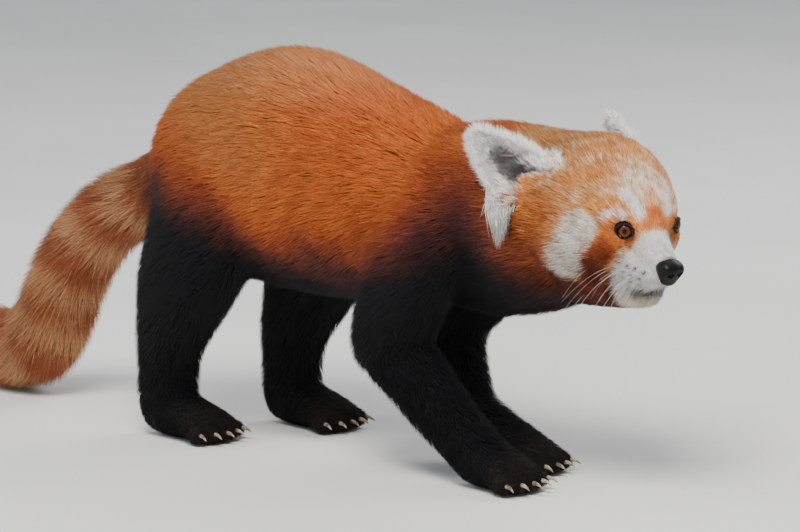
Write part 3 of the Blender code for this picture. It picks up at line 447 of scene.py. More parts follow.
SNOUT_Z = (-0.050, -0.0445, -0.0384, -0.0267, -0.0144, -0.0042, 0.0045)
SNOUT_X = (0.004, -0.0015, -0.0065, -0.0045, -0.0010, 0.0022, 0.0045)
WHISKER_ROWS, WHISKERS = 3, 4


def waves(places, size, seed):
    """A smooth unevenness from -1 to 1, with patches of about this size."""
    draw = np.random.default_rng(seed)
    total = np.zeros(len(places))
    for _ in range(5):
        way = draw.normal(size=3)
        way *= draw.uniform(0.6, 1.6) / np.linalg.norm(way)
        total += np.sin(places @ way * 2 * np.pi / size + draw.uniform(0, 6.3))
    return np.clip(total / 2.6, -1, 1)


def whisker_root(row, k):
    """Where a whisker grows, on the left side of the muzzle."""
    ahead, height = 0.0165 - 0.0058 * k - 0.0015 * row, -0.0215 - 0.0046 * row + 0.0004 * k
    return ahead, 0.0165 + 0.0022 * k + 0.0004 * row, height


def near_line(places, line, radius, soft):
    """1 on a line of points and 0 past its radius, with a soft edge."""
    off = nearest_on(np.array(line), places)[1]
    return ramp(-off, -radius - soft, -radius + soft)


def markings(places):
    """The colour of the coat at each place, skin and hair alike."""
    x, y, z = places.T
    edge = np.interp(x, EDGE_X, EDGE_Z) + 0.006 * waves(places, 0.05, 3)
    above = z - edge
    colour = np.tile(BLACK, (len(places), 1))
    above = above / (1 + 0.7 * ramp(x, 0.02, 0.07))
    colour = between(colour, MAROON, ramp(above, -0.012, 0.010))
    colour = between(colour, DEEP_RUST, ramp(above, 0.004, 0.030))
    colour = between(colour, RUST, ramp(above, 0.022, 0.050 + 0.01 * waves(places, 0.08, 5)))
    colour = between(colour, GOLD, 0.75 * ramp(above, 0.035, 0.075) * ramp(-x, 0.02, 0.15))
    # Painted highlight: a pale peach along the top of the back, where the light from above falls.
    colour = between(colour, PEACH_HIGHLIGHT, 0.55 * ramp(z + 0.004 * waves(places, 0.06, 6), 0.245, 0.292))
    for line, radii in LEG_LINES:
        along, off, _ = nearest_on(line, places)
        radius = np.interp(along, np.arange(len(radii)), radii)
        limb = ramp(-off / radius, -1.25, -1.0) * ramp(-z, -0.150, -0.135)
        colour = between(colour, BLACK, limb)
        colour = between(colour, TOE_BROWN, 0.8 * limb * ramp(along, len(radii) - 1.6, len(radii) - 1.1))

    along = nearest_on(tail_rows[:, :3], places)[0]
    turned = along / TAIL_STEPS * RINGS * 2 * np.pi + RING_UNEVEN * waves(places, 0.04, 7)
    ring = 0.5 + 0.5 * np.sin(turned)
    banded = between(np.tile(RING_RED, (len(places), 1)), BUFF, ramp(ring, 0.30, 0.70))
    banded = between(banded, TAIL_TIP, ramp(along, 66, 70))
    colour = between(colour, banded, ramp(-x, -TAIL_START_X, 0.262))

    face = on_face(places)
    fx, fy, fz = face.T
    side = np.abs(fy)
    head = ramp(past_neck(places), -0.026, 0.004)
    half = np.stack((fx, side, fz), axis=1)
    uneven = waves(places, 0.012, 9)
    coat = np.tile(CROWN, (len(places), 1))
    middle = ramp(fx, -0.045, -0.015) * ramp(-side, -0.030, -0.004)
    coat = between(coat, CREAM, 0.65 * middle * ramp(fz, 0.014, 0.028))
    coat = between(coat, CREAM, 0.30 * ramp(uneven, 0.0, 0.9))
    rear = ramp(-fx, 0.030, 0.052) * ramp(-fz, -0.018, 0.006)
    coat = between(coat, ORANGE, rear)
    coat = between(coat, CHESTNUT, ramp(-fx, 0.030, 0.046) * ramp(-fz + 0.004 * uneven, 0.010, 0.034))
    coat = between(coat, DARK_CHESTNUT, ramp(-fz + 0.25 * (fx + 0.03) + 0.004 * uneven, 0.030, 0.048))
    coat = between(coat, BLACK, 0.8 * ramp(-fz, 0.050, 0.068) * ramp(-fx, 0.005, 0.03))
    cheek = ((-0.0235, 0.042, -0.003), (-0.0245, 0.047, -0.012), (-0.0280, 0.047, -0.024), (-0.0300, 0.041, -0.034))
    patch = near_line(half, cheek, 0.0118 + 0.002 * uneven, 0.0030)
    coat = between(coat, WARM_WHITE, patch)
    # Grey streaks in the cheek patch: partly grey in its fur, partly painted shade between its strands.
    coat = between(coat, CHEEK_GREY, 0.75 * patch * ramp(waves(places * (1, 1, 2.5), 0.008, 13), -0.1, 0.7))
    brow_line = ((-0.0135, 0.0170, 0.0240), (-0.0085, 0.0148, 0.0205), (-0.002, 0.0110, 0.0145))
    brows = near_line(half, brow_line, 0.0046, 0.0018)
    coat = between(coat, WHITE, brows * ramp(fz, 0.009, 0.013))
    stripe = near_line(half, ((0.001, 0.007, 0.009), (-0.003, 0.001, 0.017), (-0.012, 0.0, 0.025)), 0.0045, 0.0035)
    coat = between(coat, ORANGE, 0.75 * stripe)
    around_eye = near_line(half, ((-0.004, 0.0245, 0.0045), (-0.007, 0.0275, 0.0045)), 0.0110, 0.0030)
    coat = between(coat, ORANGE, 0.8 * around_eye * (1 - brows))
    over_eye = ((-0.015, 0.0315, 0.0080), (-0.0115, 0.0270, 0.0130), (-0.006, 0.0215, 0.0128))
    coat = between(coat, WHITE, near_line(half, over_eye, 0.0022, 0.0014))
    snout = ramp(fx - np.interp(fz, SNOUT_Z, SNOUT_X), -0.0015, 0.0020)
    snout *= ramp(-fz - 0.15 * side, -0.008, -0.0035) * ramp(-side + 0.45 * fx, -0.0285, -0.0235)
    coat = between(coat, WHITE, snout)
    track = ((-0.006, 0.0300, -0.002), (-0.0075, 0.0330, -0.013), (-0.0125, 0.0345, -0.0245))
    track += ((-0.0165, 0.0290, -0.037),)
    tear = near_line(half, track, 0.0084 + 0.0012 * uneven, 0.0018)
    under_eye = near_line(half, ((-0.007, 0.0300, -0.004), (-0.0010, 0.0235, -0.0045)), 0.0046, 0.0016)
    coat = between(coat, ORANGE, np.maximum(tear, under_eye))
    tear_core = near_line(half, track[1:] + ((-0.017, 0.022, -0.046),), 0.0082, 0.0026)
    coat = between(coat, CHESTNUT, tear_core * ramp(-fz, 0.000, 0.010))
    coat = between(coat, DARK_CHESTNUT, 0.8 * tear_core * ramp(-fz, 0.010, 0.032))
    for row in range(WHISKER_ROWS):
        for k in range(WHISKERS):
            apart = np.linalg.norm((half - np.array(whisker_root(row, k))) * (1, 0, 1), axis=1)
            coat = between(coat, BLACK, 0.9 * ramp(-apart, -0.0015, -0.0008) * (fx > -0.006))
    # The chin greyer towards its front: partly the grey tips of its hair, partly painted shade under it.
    chin_tips_and_shade = ramp(fx, -0.004, 0.004) * ramp(-fz, 0.036, 0.040)
    coat = between(coat, between(WARM_WHITE, CHEEK_GREY, 0.7 * ramp(fx, 0.004, 0.020)[:, None]), chin_tips_and_shade)
    # Painted shade: a soft dark band along the mouth, the shadow under the hair of the upper lip.
    mouth_shade = ramp(-nearest_on(MOUTH_LINE, half * (0, 1, 1))[1], -0.0034, -0.0012) * ramp(fx, 0.000, 0.010)
    coat = between(coat, BLACK, 0.85 * mouth_shade)
    philtrum = near_line(half, ((0.0205, 0.0, -0.0275), (0.0215, 0.0, -0.0345)), 0.0040, 0.0030)
    coat = between(coat, BLACK, 0.6 * philtrum)
    over_nose = near_line(half, ((0.014, 0.0, -0.004), (0.020, 0.0, -0.008)), 0.0050, 0.0040)
    coat = between(coat, CHEEK_GREY, 0.6 * over_nose)
    colour = between(colour, coat, head)

    ear, u, v, inside, _ = ear_of(face)
    cup = np.tile(WHITE, (len(places), 1))
    # Painted shade: the hollow of each ear's cup is dark grey, as the shade that falls in it.
    dark = ramp(ear, 0.5, 0.9) * ramp(-np.abs(v + 0.08 * uneven), -0.66, -0.30)
    dark *= ramp(-u, -0.84, -0.54) * ramp(u, -0.02, 0.10)
    cup = between(cup, EAR_HOLLOW_SHADE, 0.92 * dark * ramp(inside, -0.0005, 0.0005))
    rear_of_ear = ramp(-np.abs(v), -0.85, -0.60) * ramp(-u, -0.70, -0.40) * ramp(-inside, -0.0005, 0.0010)
    cup = between(cup, EAR_BACK, 0.85 * rear_of_ear)
    return between(colour, cup, ear)


# The skin
# One closed skin over the whole animal, drawn in from the outline by the depth of the coat. It shows
# only where the hair parts, so it carries the markings, darker, with a fine unevenness.
SKIN_VOXEL, SMOOTHED, BODY_SMOOTHED, LEAST_SMOOTHED = 0.0022, 6, 10, 0.01
SKIN_OVER_FLOOR, SKIN_UNDER_EYE = 0.0008, 0.0012

skin = in_scene("skin", mesh_from("form", form))
remesh = skin.modifiers.new("one_skin", "REMESH")
remesh.mode, remesh.voxel_size = "VOXEL", SKIN_VOXEL


def settle(piece):
    """Turns what the modifiers make into the piece's own mesh."""
    made = made_by_modifiers(piece)
    piece.modifiers.clear()
    piece.data = made


def places_of(mesh):
    places = np.empty(len(mesh.vertices) * 3)
    mesh.vertices.foreach_get("co", places)
    return places.reshape(-1, 3)


def seen_by_eye(places, s):
    """The places in an eye's frame, and how far out each is, where 1 is the rim of its opening."""
    into_eye = np.array(eye_frame(s).inverted())
    local = places @ into_eye[:3, :3].T + into_eye[:3, 3]
    return local, np.hypot((local[:, 1] - s * EYE_OUT) / EYE_WIDE, local[:, 2] / EYE_HIGH)


settle(skin)
outline = places_of(skin.data)
ear_much = ear_of(on_face(outline))[0]
head_much = ramp(past_neck(outline), -0.02, 0.02)
for name, much, rounds in (
    ("all", 1 - ear_much, SMOOTHED),
    ("body", (1 - head_much) * (1 - ear_much), BODY_SMOOTHED),
):
    group = skin.vertex_groups.new(name=name)
    for k, share in enumerate(much):
        if share > LEAST_SMOOTHED:
            group.add((k,), float(share), "REPLACE")
    soften = skin.modifiers.new("soften", "SMOOTH")
    soften.factor, soften.iterations, soften.vertex_group = 0.5, rounds, name
settle(skin)
skin.vertex_groups.clear()

outline = places_of(skin.data)
normals = np.empty(len(outline) * 3)
skin.data.vertex_normals.foreach_get("vector", normals)
normals = normals.reshape(-1, 3)
depth = coat_at(outline)[3]
inner = outline - normals * depth[:, None]
inner[:, 2] = np.maximum(inner[:, 2], SKIN_OVER_FLOOR)
for s in SIDES:
    local, off = seen_by_eye(inner, s)
    distance = np.linalg.norm(local, axis=1)
    sunk = ramp(-off, -1.20, -0.98) * (local[:, 0] > 0) * (distance < 0.02)
    wanted = local * (np.minimum(distance, EYE_RADIUS - SKIN_UNDER_EYE) / distance)[:, None]
    local = between(local, wanted, sunk)
    out_of_eye = np.array(eye_frame(s))
    inner = local @ out_of_eye[:3, :3].T + out_of_eye[:3, 3]
skin.data.vertices.foreach_set("co", inner.ravel())
skin.data.update()
skin_tree = BVHTree.FromPolygons([Vector(p) for p in inner], [tuple(f.vertices) for f in skin.data.polygons])


# The coat
# Each tuft is a thin solid blade with three sides. It is rooted in the skin, lies along the coat and
# ends in a point at the coat's depth, and carries the colour of its place, dark at the root.
PATCH, PLANTED = 0.003, 0.0012
TUFT_OVER_FLOOR, ROOT_OVER_FLOOR, CORNER_OVER_FLOOR = 0.0004, 0.0010, 0.0003
STRAY, CLUMPED, CLUMP_SIZE, SHADE_CLUMP_SIZE = 0.11, 0.20, 0.012, 0.0055
COLOUR_AT, COLOUR_STRAY = 0.65, 0.16
STRAIGHT_CHART = ((-1, -1), (1, -1), (0, -0.3), (0, 1))
BENT_CHART = STRAIGHT_CHART[:3] + ((-0.6, 0.4), (0.6, 0.4), (0, 0.6)) + STRAIGHT_CHART[3:]


def unwrapped(faces):
    """A few of the skin's faces as triangles: their corners, and their places on their own unwrap."""
    source = skin.data
    used = sorted({v for k in faces for v in source.polygons[k].vertices})
    renamed = {v: i for i, v in enumerate(used)}
    sides = [[renamed[v] for v in source.polygons[k].vertices] for k in faces]
    part = bpy.data.meshes.new("part")
    part.from_pydata([source.vertices[v].co for v in used], [], sides)
    holder = in_scene("part", part)
    part.uv_layers.new(name="OFBake")
    for other in bpy.context.selected_objects:
        other.select_set(False)
    bpy.context.view_layer.objects.active = holder
    holder.select_set(True)
    bpy.ops.object.mode_set(mode="EDIT")
    bpy.ops.mesh.select_all(action="SELECT")
    bpy.ops.uv.smart_project(angle_limit=math.radians(66), island_margin=0.004)
    bpy.ops.object.mode_set(mode="OBJECT")
    part = holder.data
    part.calc_loop_triangles()
    loops = np.empty(len(part.loop_triangles) * 3, int)
    part.loop_triangles.foreach_get("loops", loops)
    corners = np.empty(len(part.loop_triangles) * 3, int)
    part.loop_triangles.foreach_get("vertices", corners)
    charted = np.empty(len(part.loops) * 2)
    part.uv_layers["OFBake"].uv.foreach_get("vector", charted)
    places = places_of(part)[corners].reshape(-1, 3, 3)
    chart = charted.reshape(-1, 2)[loops].reshape(-1, 3, 2)
    bpy.data.objects.remove(holder)
    return places, chart


def lay_on_skin(places, height):
    """The places moved so that each is at its height over the skin."""
    moved = np.empty_like(places)
    for k, place in enumerate(places):
        spot, normal, _, _ = skin_tree.find_nearest(Vector(place))
        moved[k] = spot + normal * height[k]
    return moved


def blades(root, tip, across, outward, width, middle=None):
    """Closed three-sided tufts: straight with four triangles each, or bent at a middle with ten."""
    corner = np.stack((-0.5 * across, 0.5 * across, 0.42 * outward), axis=1) * width[:, None, None]
    rings = [root[:, None] + corner * 0.9 - outward[:, None] * 0.2 * width[:, None, None]]
    faces = [(0, 2, 1)]
    if middle is not None:
        rings.append(middle[:, None] + corner * 0.8)
        for j, k in ((0, 1), (1, 2), (2, 0)):
            faces += [(j, k, 3 + k), (j, 3 + k, 3 + j)]
    last = 3 * len(rings)
    faces += [(last - 3 + j, last - 3 + (j + 1) % 3, last) for j in range(3)]
    points = np.concatenate((*rings, tip[:, None]), axis=1).reshape(-1, 3)
    starts = (last + 1) * np.arange(len(root))[:, None, None]
    return points, (np.array(faces)[None] + starts).reshape(-1, 3)


def patches(on_chart, corners):
    """A small patch of the map for each tuft, with a place in it for each of the tuft's corners."""
    return (on_chart[:, None] + np.array(corners) * PATCH / 2).reshape(-1, 2)


def paint(mesh, colours):
    """Keeps a colour for each of the mesh's points, which the materials read."""
    layer = mesh.color_attributes.new("markings", "FLOAT_COLOR", "POINT")
    layer.data.foreach_set("color", np.c_[colours, np.ones(len(colours))].astype(np.float32).ravel())


def coat_mesh(name, points, faces, colours, chart):
    """A mesh of tufts with its colours and with the map that they are baked on."""
    mesh = bpy.data.meshes.new(name)
    mesh.vertices.add(len(points))
    mesh.vertices.foreach_set("co", points.astype(np.float32).ravel())
    mesh.loops.add(len(faces) * 3)
    mesh.loops.foreach_set("vertex_index", faces.astype(np.int32).ravel())
    mesh.polygons.add(len(faces))
    mesh.polygons.foreach_set("loop_start", np.arange(0, len(faces) * 3, 3, dtype=np.int32))
    mesh.polygons.foreach_set("use_smooth", np.ones(len(faces), bool))
    mesh.update(calc_edges=True)
    paint(mesh, colours)
    baked = mesh.uv_layers.new(name="OFBake")
    baked.uv.foreach_set("vector", chart[faces.ravel()].astype(np.float32).ravel())
    return in_scene(name, mesh)


def grow(name, faces, tufts, seed, contrast):
    """Plants so many tufts on some of the skin's faces, closer where they are shorter."""
    draw = np.random.default_rng(seed)
    corners, chart = unwrapped(faces)
    facing = np.cross(corners[:, 1] - corners[:, 0], corners[:, 2] - corners[:, 0])
    area = np.linalg.norm(facing, axis=1) / 2
    _, length, width, _ = coat_at(corners.mean(axis=1))
    share = area / (length * width) ** 0.75
    chosen = draw.choice(len(area), size=int(tufts), p=share / share.sum())
    first, second = draw.random(len(chosen)), draw.random(len(chosen))
    fold = first + second > 1
    first[fold], second[fold] = 1 - first[fold], 1 - second[fold]
    weights = np.stack((1 - first - second, first, second), axis=1)
    root = np.einsum("nk,nkj->nj", weights, corners[chosen])
    on_chart = np.einsum("nk,nkj->nj", weights, chart[chosen])
    outward = unit(facing[chosen])
    clear = clear_of_bare_skin(root)
    root, on_chart, outward = root[clear], on_chart[clear], outward[clear]
    heading, length, width, depth = coat_at(root)
    count = len(root)
    stray = draw.normal(size=(count, 3)) * STRAY
    clump = np.stack([waves(root, CLUMP_SIZE, seed + 40 + k) for k in range(3)], axis=1) * CLUMPED
    heading = heading + stray + clump
    heading = unit(heading - outward * np.einsum("nj,nj->n", heading, outward)[:, None])
    length = length * draw.uniform(0.75, 1.25, count)
    width = width * draw.uniform(0.7, 1.25, count)
    top = depth * draw.uniform(0.68, 1.14, count) + 0.0002
    on_ear = ear_of(on_face(root))[0] > 0.5
    reached = root + heading * length[:, None]
    free = reached + outward * (top * 0.5)[:, None]
    tip = np.where(on_ear[:, None], free, lay_on_skin(reached, top))
    tip[:, 2] = np.maximum(tip[:, 2], TUFT_OVER_FLOOR)
    root = root - outward * PLANTED
    root[:, 2] = np.maximum(root[:, 2], ROOT_OVER_FLOOR)
    across = unit(np.cross(outward, heading))
    points, triangles = blades(root, tip, across, outward, width)
    points[:, 2] = np.maximum(points[:, 2], CORNER_OVER_FLOOR)
    along = np.where(on_ear, 0.0, length)[:, None]
    seen = root + outward * (depth * 0.5)[:, None] + COLOUR_AT * heading * along
    colour = markings(seen + COLOUR_STRAY * draw.normal(size=(count, 3)) * along)
    clumped = 1.2 * contrast * waves(root, SHADE_CLUMP_SIZE, seed + 50)
    light = np.exp(draw.normal(0.0, contrast, count) + clumped)[:, None]
    colour = np.clip(colour * light ** np.array((0.8, 1.1, 1.3)), 0, 0.93)
    at_root = colour * np.where(on_ear, 0.8, 0.5)[:, None]
    at_tip = np.clip(colour * 1.2 + 0.08 * colour**0.5, 0, 1)
    shades = np.stack([at_root] * 3 + [at_tip], axis=1).reshape(-1, 3)
    return coat_mesh(name, points, triangles, shades, patches(on_chart, STRAIGHT_CHART))


# The line of the mouth
# Dark bare lips, a thin roll above and below, that run from one corner of the mouth round the front
# to the other. The hair of the muzzle and the chin half hides them.
MOUTH_FRONT, MOUTH_CORNER = (0.0255, -0.0350), (0.000, 0.0200, -0.0415)
MOUTH_STEPS, MOUTH_SAG, LIP_RADIUS, LIP_APART = 14, 0.0022, 0.0007, 0.0008


def mouth_line(drop):
    """Points on the skin from one corner of the mouth to the other."""
    points = []
    for k in range(-MOUTH_STEPS, MOUTH_STEPS + 1):
        f = abs(k) / MOUTH_STEPS
        ahead = MOUTH_FRONT[0] * (1 - f * f) + MOUTH_CORNER[0] * f * f
        height = MOUTH_FRONT[1] * (1 - f) + MOUTH_CORNER[2] * f
        height -= MOUTH_SAG * math.sin(math.pi * f) + drop
        aim = Vector((ahead, math.copysign(MOUTH_CORNER[1] * math.sin(f * math.pi / 2), k), height))
        middle = Vector((-0.012, 0, height))
        way = (aim - middle).normalized()
        points.append(skin_tree.ray_cast(HEAD @ (middle + way * 0.08), HEAD.to_3x3() @ -way)[0])
    return points


MOUTH = np.array([list(p) for p in mouth_line(0.0)])


def thread(points, radii, sides):
    """A closed bar along points, that tapers as its radii do: its corners and its faces."""
    corners, faces = [], []
    for k, (point, radius) in enumerate(zip(points, radii)):
        ahead = (points[min(k + 1, len(points) - 1)] - points[max(k - 1, 0)]).normalized()
        turn = ahead.to_track_quat("X", "Z").to_matrix()
        for j in range(sides):
            angle = 2 * math.pi * j / sides
            corners.append(point + turn @ Vector((0, math.cos(angle), math.sin(angle))) * radius)
    for k in range(len(points) - 1):
        for j in range(sides):
            a, b = k * sides + j, k * sides + (j + 1) % sides
            faces.append((a, b, b + sides, a + sides))
    faces.append(tuple(range(sides))[::-1])
    faces.append(tuple(range((len(points) - 1) * sides, len(points) * sides)))
    return corners, faces


def piece_of(name, parts, material):
    """One piece from the corners and faces of many closed shapes, put where the CAD has the model."""
    corners, faces = [], []
    for more_corners, more_faces in parts:
        start = len(corners)
        corners += list(more_corners)
        faces += [tuple(start + v for v in face) for face in more_faces]
    mesh = bpy.data.meshes.new(name)
    mesh.from_pydata(corners, [], faces)
    mesh.transform(Matrix.Translation(SETTLED))
    mesh.shade_smooth()
    mesh.materials.append(material)
    piece = in_scene(name, mesh)
    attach(piece, "root")
    return piece


def surface(name, roughness, specular):
    """A material with one shader and its output: the material, its nodes, its links and the shader."""
    material = bpy.data.materials.new(name)
    material.use_nodes = True
    nodes, links = material.node_tree.nodes, material.node_tree.links
    shader = nodes["Principled BSDF"]
    shader.inputs["Roughness"].default_value = roughness
    shader.inputs["Specular IOR Level"].default_value = specular
    return material, nodes, links, shader


def mottled(nodes, links, scale, dark, light):
    """Two colours mixed by noise on the piece's own coordinates: the colour, and the noise itself."""
    where = nodes.new("ShaderNodeTexCoord")
    noise = nodes.new("ShaderNodeTexNoise")
    noise.inputs["Scale"].default_value, noise.inputs["Detail"].default_value = scale, 4
    ramp_of = nodes.new("ShaderNodeValToRGB")
    for element, position, colour in zip(ramp_of.color_ramp.elements, (0.35, 0.65), (dark, light)):
        element.position, element.color = position, (*colour, 1)
    links.new(where.outputs["Object"], noise.inputs["Vector"])
    links.new(noise.outputs["Fac"], ramp_of.inputs["Fac"])
    return ramp_of.outputs["Color"], noise.outputs["Fac"]


def bumpy(nodes, links, shader, height, strength, distance):
    bump = nodes.new("ShaderNodeBump")
    bump.inputs["Strength"].default_value, bump.inputs["Distance"].default_value = strength, distance
    links.new(height, bump.inputs["Height"])
    links.new(bump.outputs["Normal"], shader.inputs["Normal"])


def two_toned(name, roughness, specular, scale, dark, light, raised=None):
    """A material of two colours in fine patches, raised by a strength and a distance where it is pale."""
    material, nodes, links, shader = surface(name, roughness, specular)
    tint, grain = mottled(nodes, links, scale, dark, light)
    links.new(tint, shader.inputs["Base Color"])
    if raised:
        bumpy(nodes, links, shader, grain, *raised)
    return material


lip_skin = two_toned("lip_skin", 0.45, 0.5, 700, shade(20, 15, 15), shade(52, 38, 36), (0.3, 0.0004))
lip_parts = []
for drop in (-LIP_APART, LIP_APART):
    line = [Vector(p) for p in mouth_line(drop)]
    ends = [abs(k / MOUTH_STEPS - 1) for k in range(len(line))]
    lip_parts.append(thread(line, [LIP_RADIUS * (1 - 0.55 * end**3) for end in ends], 10))
piece_of("lips", lip_parts, lip_skin)


# The eyes
# A glossy ball with a dark red brown iris and a round pupil, which darkens towards its rim. The
# lids are a thin bare black rim, tighter at the inner corner, that lies on the ball.
GAZE_TURN, GAZE_LIFT = math.radians(9), math.radians(3)
IRIS_HALF, PUPIL_HALF, CORNEA_BULGE = math.radians(34), math.radians(10), 0.05
LID_TURNS, LID_CLEAR, INNER_CORNER = 56, 0.0004, 0.13
LID_RINGS = (
    (0.93, 0.00005),
    (0.96, 0.00035),
    (1.00, 0.00060),
    (1.06, 0.00060),
    (1.12, 0.00030),
    (1.17, -0.0010),
    (1.06, -0.0020),
    (0.95, -0.0008),
)

eye_gloss, nodes, links, shader = surface("eye_gloss", 0.3, 0.05)
for socket, value in (("Coat Weight", 0.34), ("Coat Roughness", 0.02), ("Coat IOR", 1.45)):
    shader.inputs[socket].default_value = value
angle = nodes.new("ShaderNodeAttribute")
angle.attribute_name = "from_gaze"
rings = nodes.new("ShaderNodeValToRGB")
rings.color_ramp.interpolation = "EASE"
stops = (
    (0.0, shade(10, 5, 4)),
    (PUPIL_HALF * 0.85, shade(16, 8, 6)),
    (PUPIL_HALF * 1.30, shade(70, 34, 20)),
    (IRIS_HALF * 0.62, shade(112, 56, 30)),
    (IRIS_HALF * 0.84, shade(58, 26, 15)),
    (IRIS_HALF * 0.98, shade(8, 5, 5)),
    (IRIS_HALF * 1.25, shade(14, 9, 8)),
)
while len(rings.color_ramp.elements) < len(stops):
    rings.color_ramp.elements.new(0.5)
for element, (at, colour) in zip(rings.color_ramp.elements, stops):
    element.position, element.color = at / math.pi * 2, (*colour, 1)
fibres = nodes.new("ShaderNodeTexNoise")
fibres.inputs["Scale"].default_value = 1400
where = nodes.new("ShaderNodeTexCoord")
links.new(where.outputs["Object"], fibres.inputs["Vector"])
streaks = nodes.new("ShaderNodeMix")
streaks.data_type, streaks.blend_type = "RGBA", "MULTIPLY"
streaks.inputs["Factor"].default_value = 0.35
links.new(angle.outputs["Fac"], rings.inputs["Fac"])
links.new(rings.outputs["Color"], streaks.inputs["A"])
links.new(fibres.outputs["Color"], streaks.inputs["B"])
links.new(streaks.outputs["Result"], shader.inputs["Base Color"])

lid_skin = two_toned("lid_skin", 0.62, 0.2, 900, shade(9, 7, 7), shade(26, 19, 18), (0.4, 0.0003))
for s, side in zip(SIDES, ("right", "left")):
    placed = eye_frame(s)
    ball = bmesh.new()
    bmesh.ops.create_uvsphere(ball, u_segments=48, v_segments=32, radius=EYE_RADIUS)
    gaze = Matrix.Rotation(s * GAZE_TURN, 3, "Z") @ Matrix.Rotation(-GAZE_LIFT, 3, "Y") @ Vector((1, 0, 0))
    for vert in ball.verts:
        bulge = max(0.0, 1 - vert.co.angle(gaze) / (IRIS_HALF * 1.1))
        vert.co *= 1 + CORNEA_BULGE * bulge**0.8
    angles = [vert.co.angle(gaze) / math.pi * 2 for vert in ball.verts]
    corners = [placed @ vert.co for vert in ball.verts]
    faces = [[vert.index for vert in face.verts] for face in ball.faces]
    ball.free()
    eyeball = piece_of(f"eyeball_{side}", [(corners, faces)], eye_gloss)
    attribute = eyeball.data.attributes.new("from_gaze", "FLOAT", "POINT")
    attribute.data.foreach_set("value", angles)
    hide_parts(f"eye_{side}")
    rim = []
    for wide, proud in LID_RINGS:
        for j in range(LID_TURNS):
            phi = 2 * math.pi * j / LID_TURNS
            inner_corner = 1 + INNER_CORNER * max(0.0, -s * math.cos(phi)) ** 4
            y = s * EYE_OUT + EYE_WIDE * wide * math.cos(phi) * inner_corner
            z = EYE_HIGH * wide * math.sin(phi) * (1 - 0.06 * math.cos(2 * phi))
            reach = EYE_RADIUS + proud + LID_CLEAR
            x = math.sqrt(max(reach * reach - y * y - z * z, 1e-7))
            rim.append(placed @ Vector((x, y, z)))
    faces = []
    for k in range(len(LID_RINGS)):
        this, after = k * LID_TURNS, (k + 1) % len(LID_RINGS) * LID_TURNS
        for j in range(LID_TURNS):
            beside = (j + 1) % LID_TURNS
            faces.append((this + j, after + j, after + beside, this + beside))
    piece_of(f"lids_{side}", [(rim, faces)], lid_skin)


# The nose
# A bare black pad with a pebbled, moist skin, broad above and narrow below. The nostrils open to the
# front and run out to the sides, and a groove runs down its middle to the lip.
NOSE_AT, NOSE_SIZE, NOSTRIL_SIDE = (0.0260, 0.0, -0.0172), (0.0078, 0.0100, 0.0088), 0.0046
GROOVE = ((1.0, 0.35), (1.03, 0.0), (1.0, -0.6), (0.85, -1.2), (0.6, -1.8))
GROOVE_RADII = (0.0005, 0.0007, 0.0008, 0.0008, 0.0007)
NOSE_VOXEL, NOSE_FINE_VOXEL, NOSE_SMOOTHED = 0.0005, 0.00032, 18


def on_nose(ahead, aside, up):
    """A place given in shares of the nose pad's half sizes, in the head's frame."""
    return tuple(middle + half * share for middle, half, share in zip(NOSE_AT, NOSE_SIZE, (ahead, aside, up)))


def share_of_nose(ahead, aside, up):
    return NOSE_SIZE[0] * ahead, NOSE_SIZE[1] * aside, NOSE_SIZE[2] * up


pad = bmesh.new()
upper = [(on_nose(0, s * 0.42, 0.25), share_of_nose(1, 0.58, 0.68)) for s in SIDES]
crown = (on_nose(0.0256, 0, 0.30), share_of_nose(1.04, 0.74, 0.74))
hull_into(pad, upper + [crown, (on_nose(-0.0385, 0, -0.62), share_of_nose(0.82, 0.62, 0.56))])
nose_pad = in_scene("nose_pad", mesh_from("nose_pad", pad))
cutters = []
for s in SIDES:
    slit = bmesh.new()
    opening = (on_nose(0.95, s * NOSTRIL_SIDE * 0.78 / NOSE_SIZE[1], 0.0227), (0.0023, 0.0019, 0.0020))
    turn = (on_nose(0.75, s * 0.74, 0.068), (0.0016, 0.0014, 0.0011))
    end = (on_nose(0.20, s * 1.04, -0.068), (0.0012, 0.0011, 0.0006))
    chain_into(slit, (opening, turn, end))
    cutters.append(in_scene("slit", mesh_from("slit", slit)))
corners, faces = thread([Vector(on_nose(ahead, 0, up)) for ahead, up in GROOVE], GROOVE_RADII, 8)
groove = bpy.data.meshes.new("groove")
groove.from_pydata(corners, [], faces)
cutters.append(in_scene("groove", groove))
one = nose_pad.modifiers.new("one_skin", "REMESH")
one.mode, one.voxel_size = "VOXEL", NOSE_VOXEL
for cutter in cutters:
    cut = nose_pad.modifiers.new("cut", "BOOLEAN")
    cut.operation, cut.object, cut.solver = "DIFFERENCE", cutter, "MANIFOLD"
again = nose_pad.modifiers.new("again", "REMESH")
again.mode, again.voxel_size = "VOXEL", NOSE_FINE_VOXEL
soften = nose_pad.modifiers.new("soften", "SMOOTH")
soften.factor, soften.iterations = 0.5, NOSE_SMOOTHED
settle(nose_pad)
for cutter in cutters:
    bpy.data.objects.remove(cutter)
nose_pad.data.transform(Matrix.Translation(SETTLED) @ HEAD)
nose_pad.data.shade_smooth()
nose_skin, nodes, links, shader = surface("nose_skin", 0.46, 0.14)
shader.inputs["Coat Weight"].default_value, shader.inputs["Coat Roughness"].default_value = 0.12, 0.28
where = nodes.new("ShaderNodeTexCoord")
pebbles = nodes.new("ShaderNodeTexVoronoi")
pebbles.inputs["Scale"].default_value = 1500
links.new(where.outputs["Object"], pebbles.inputs["Vector"])
tint, _ = mottled(nodes, links, 500, shade(3, 3, 4), shade(11, 11, 14))
links.new(tint, shader.inputs["Base Color"])
bumpy(nodes, links, shader, pebbles.outputs["Distance"], 0.35, 0.0004)
nose_pad.data.materials.clear()
nose_pad.data.materials.append(nose_skin)
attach(nose_pad, "root")
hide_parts("nose")


# The planting of the coat
# The fur is planted in parts, so that each stays small: closest on the face, longest on the tail.
# The eyes, the nose and the lips are kept clear.
BARE_LID, BARE_AROUND_LIPS, CORNER_POINTS = 1.04, 0.0006, 8


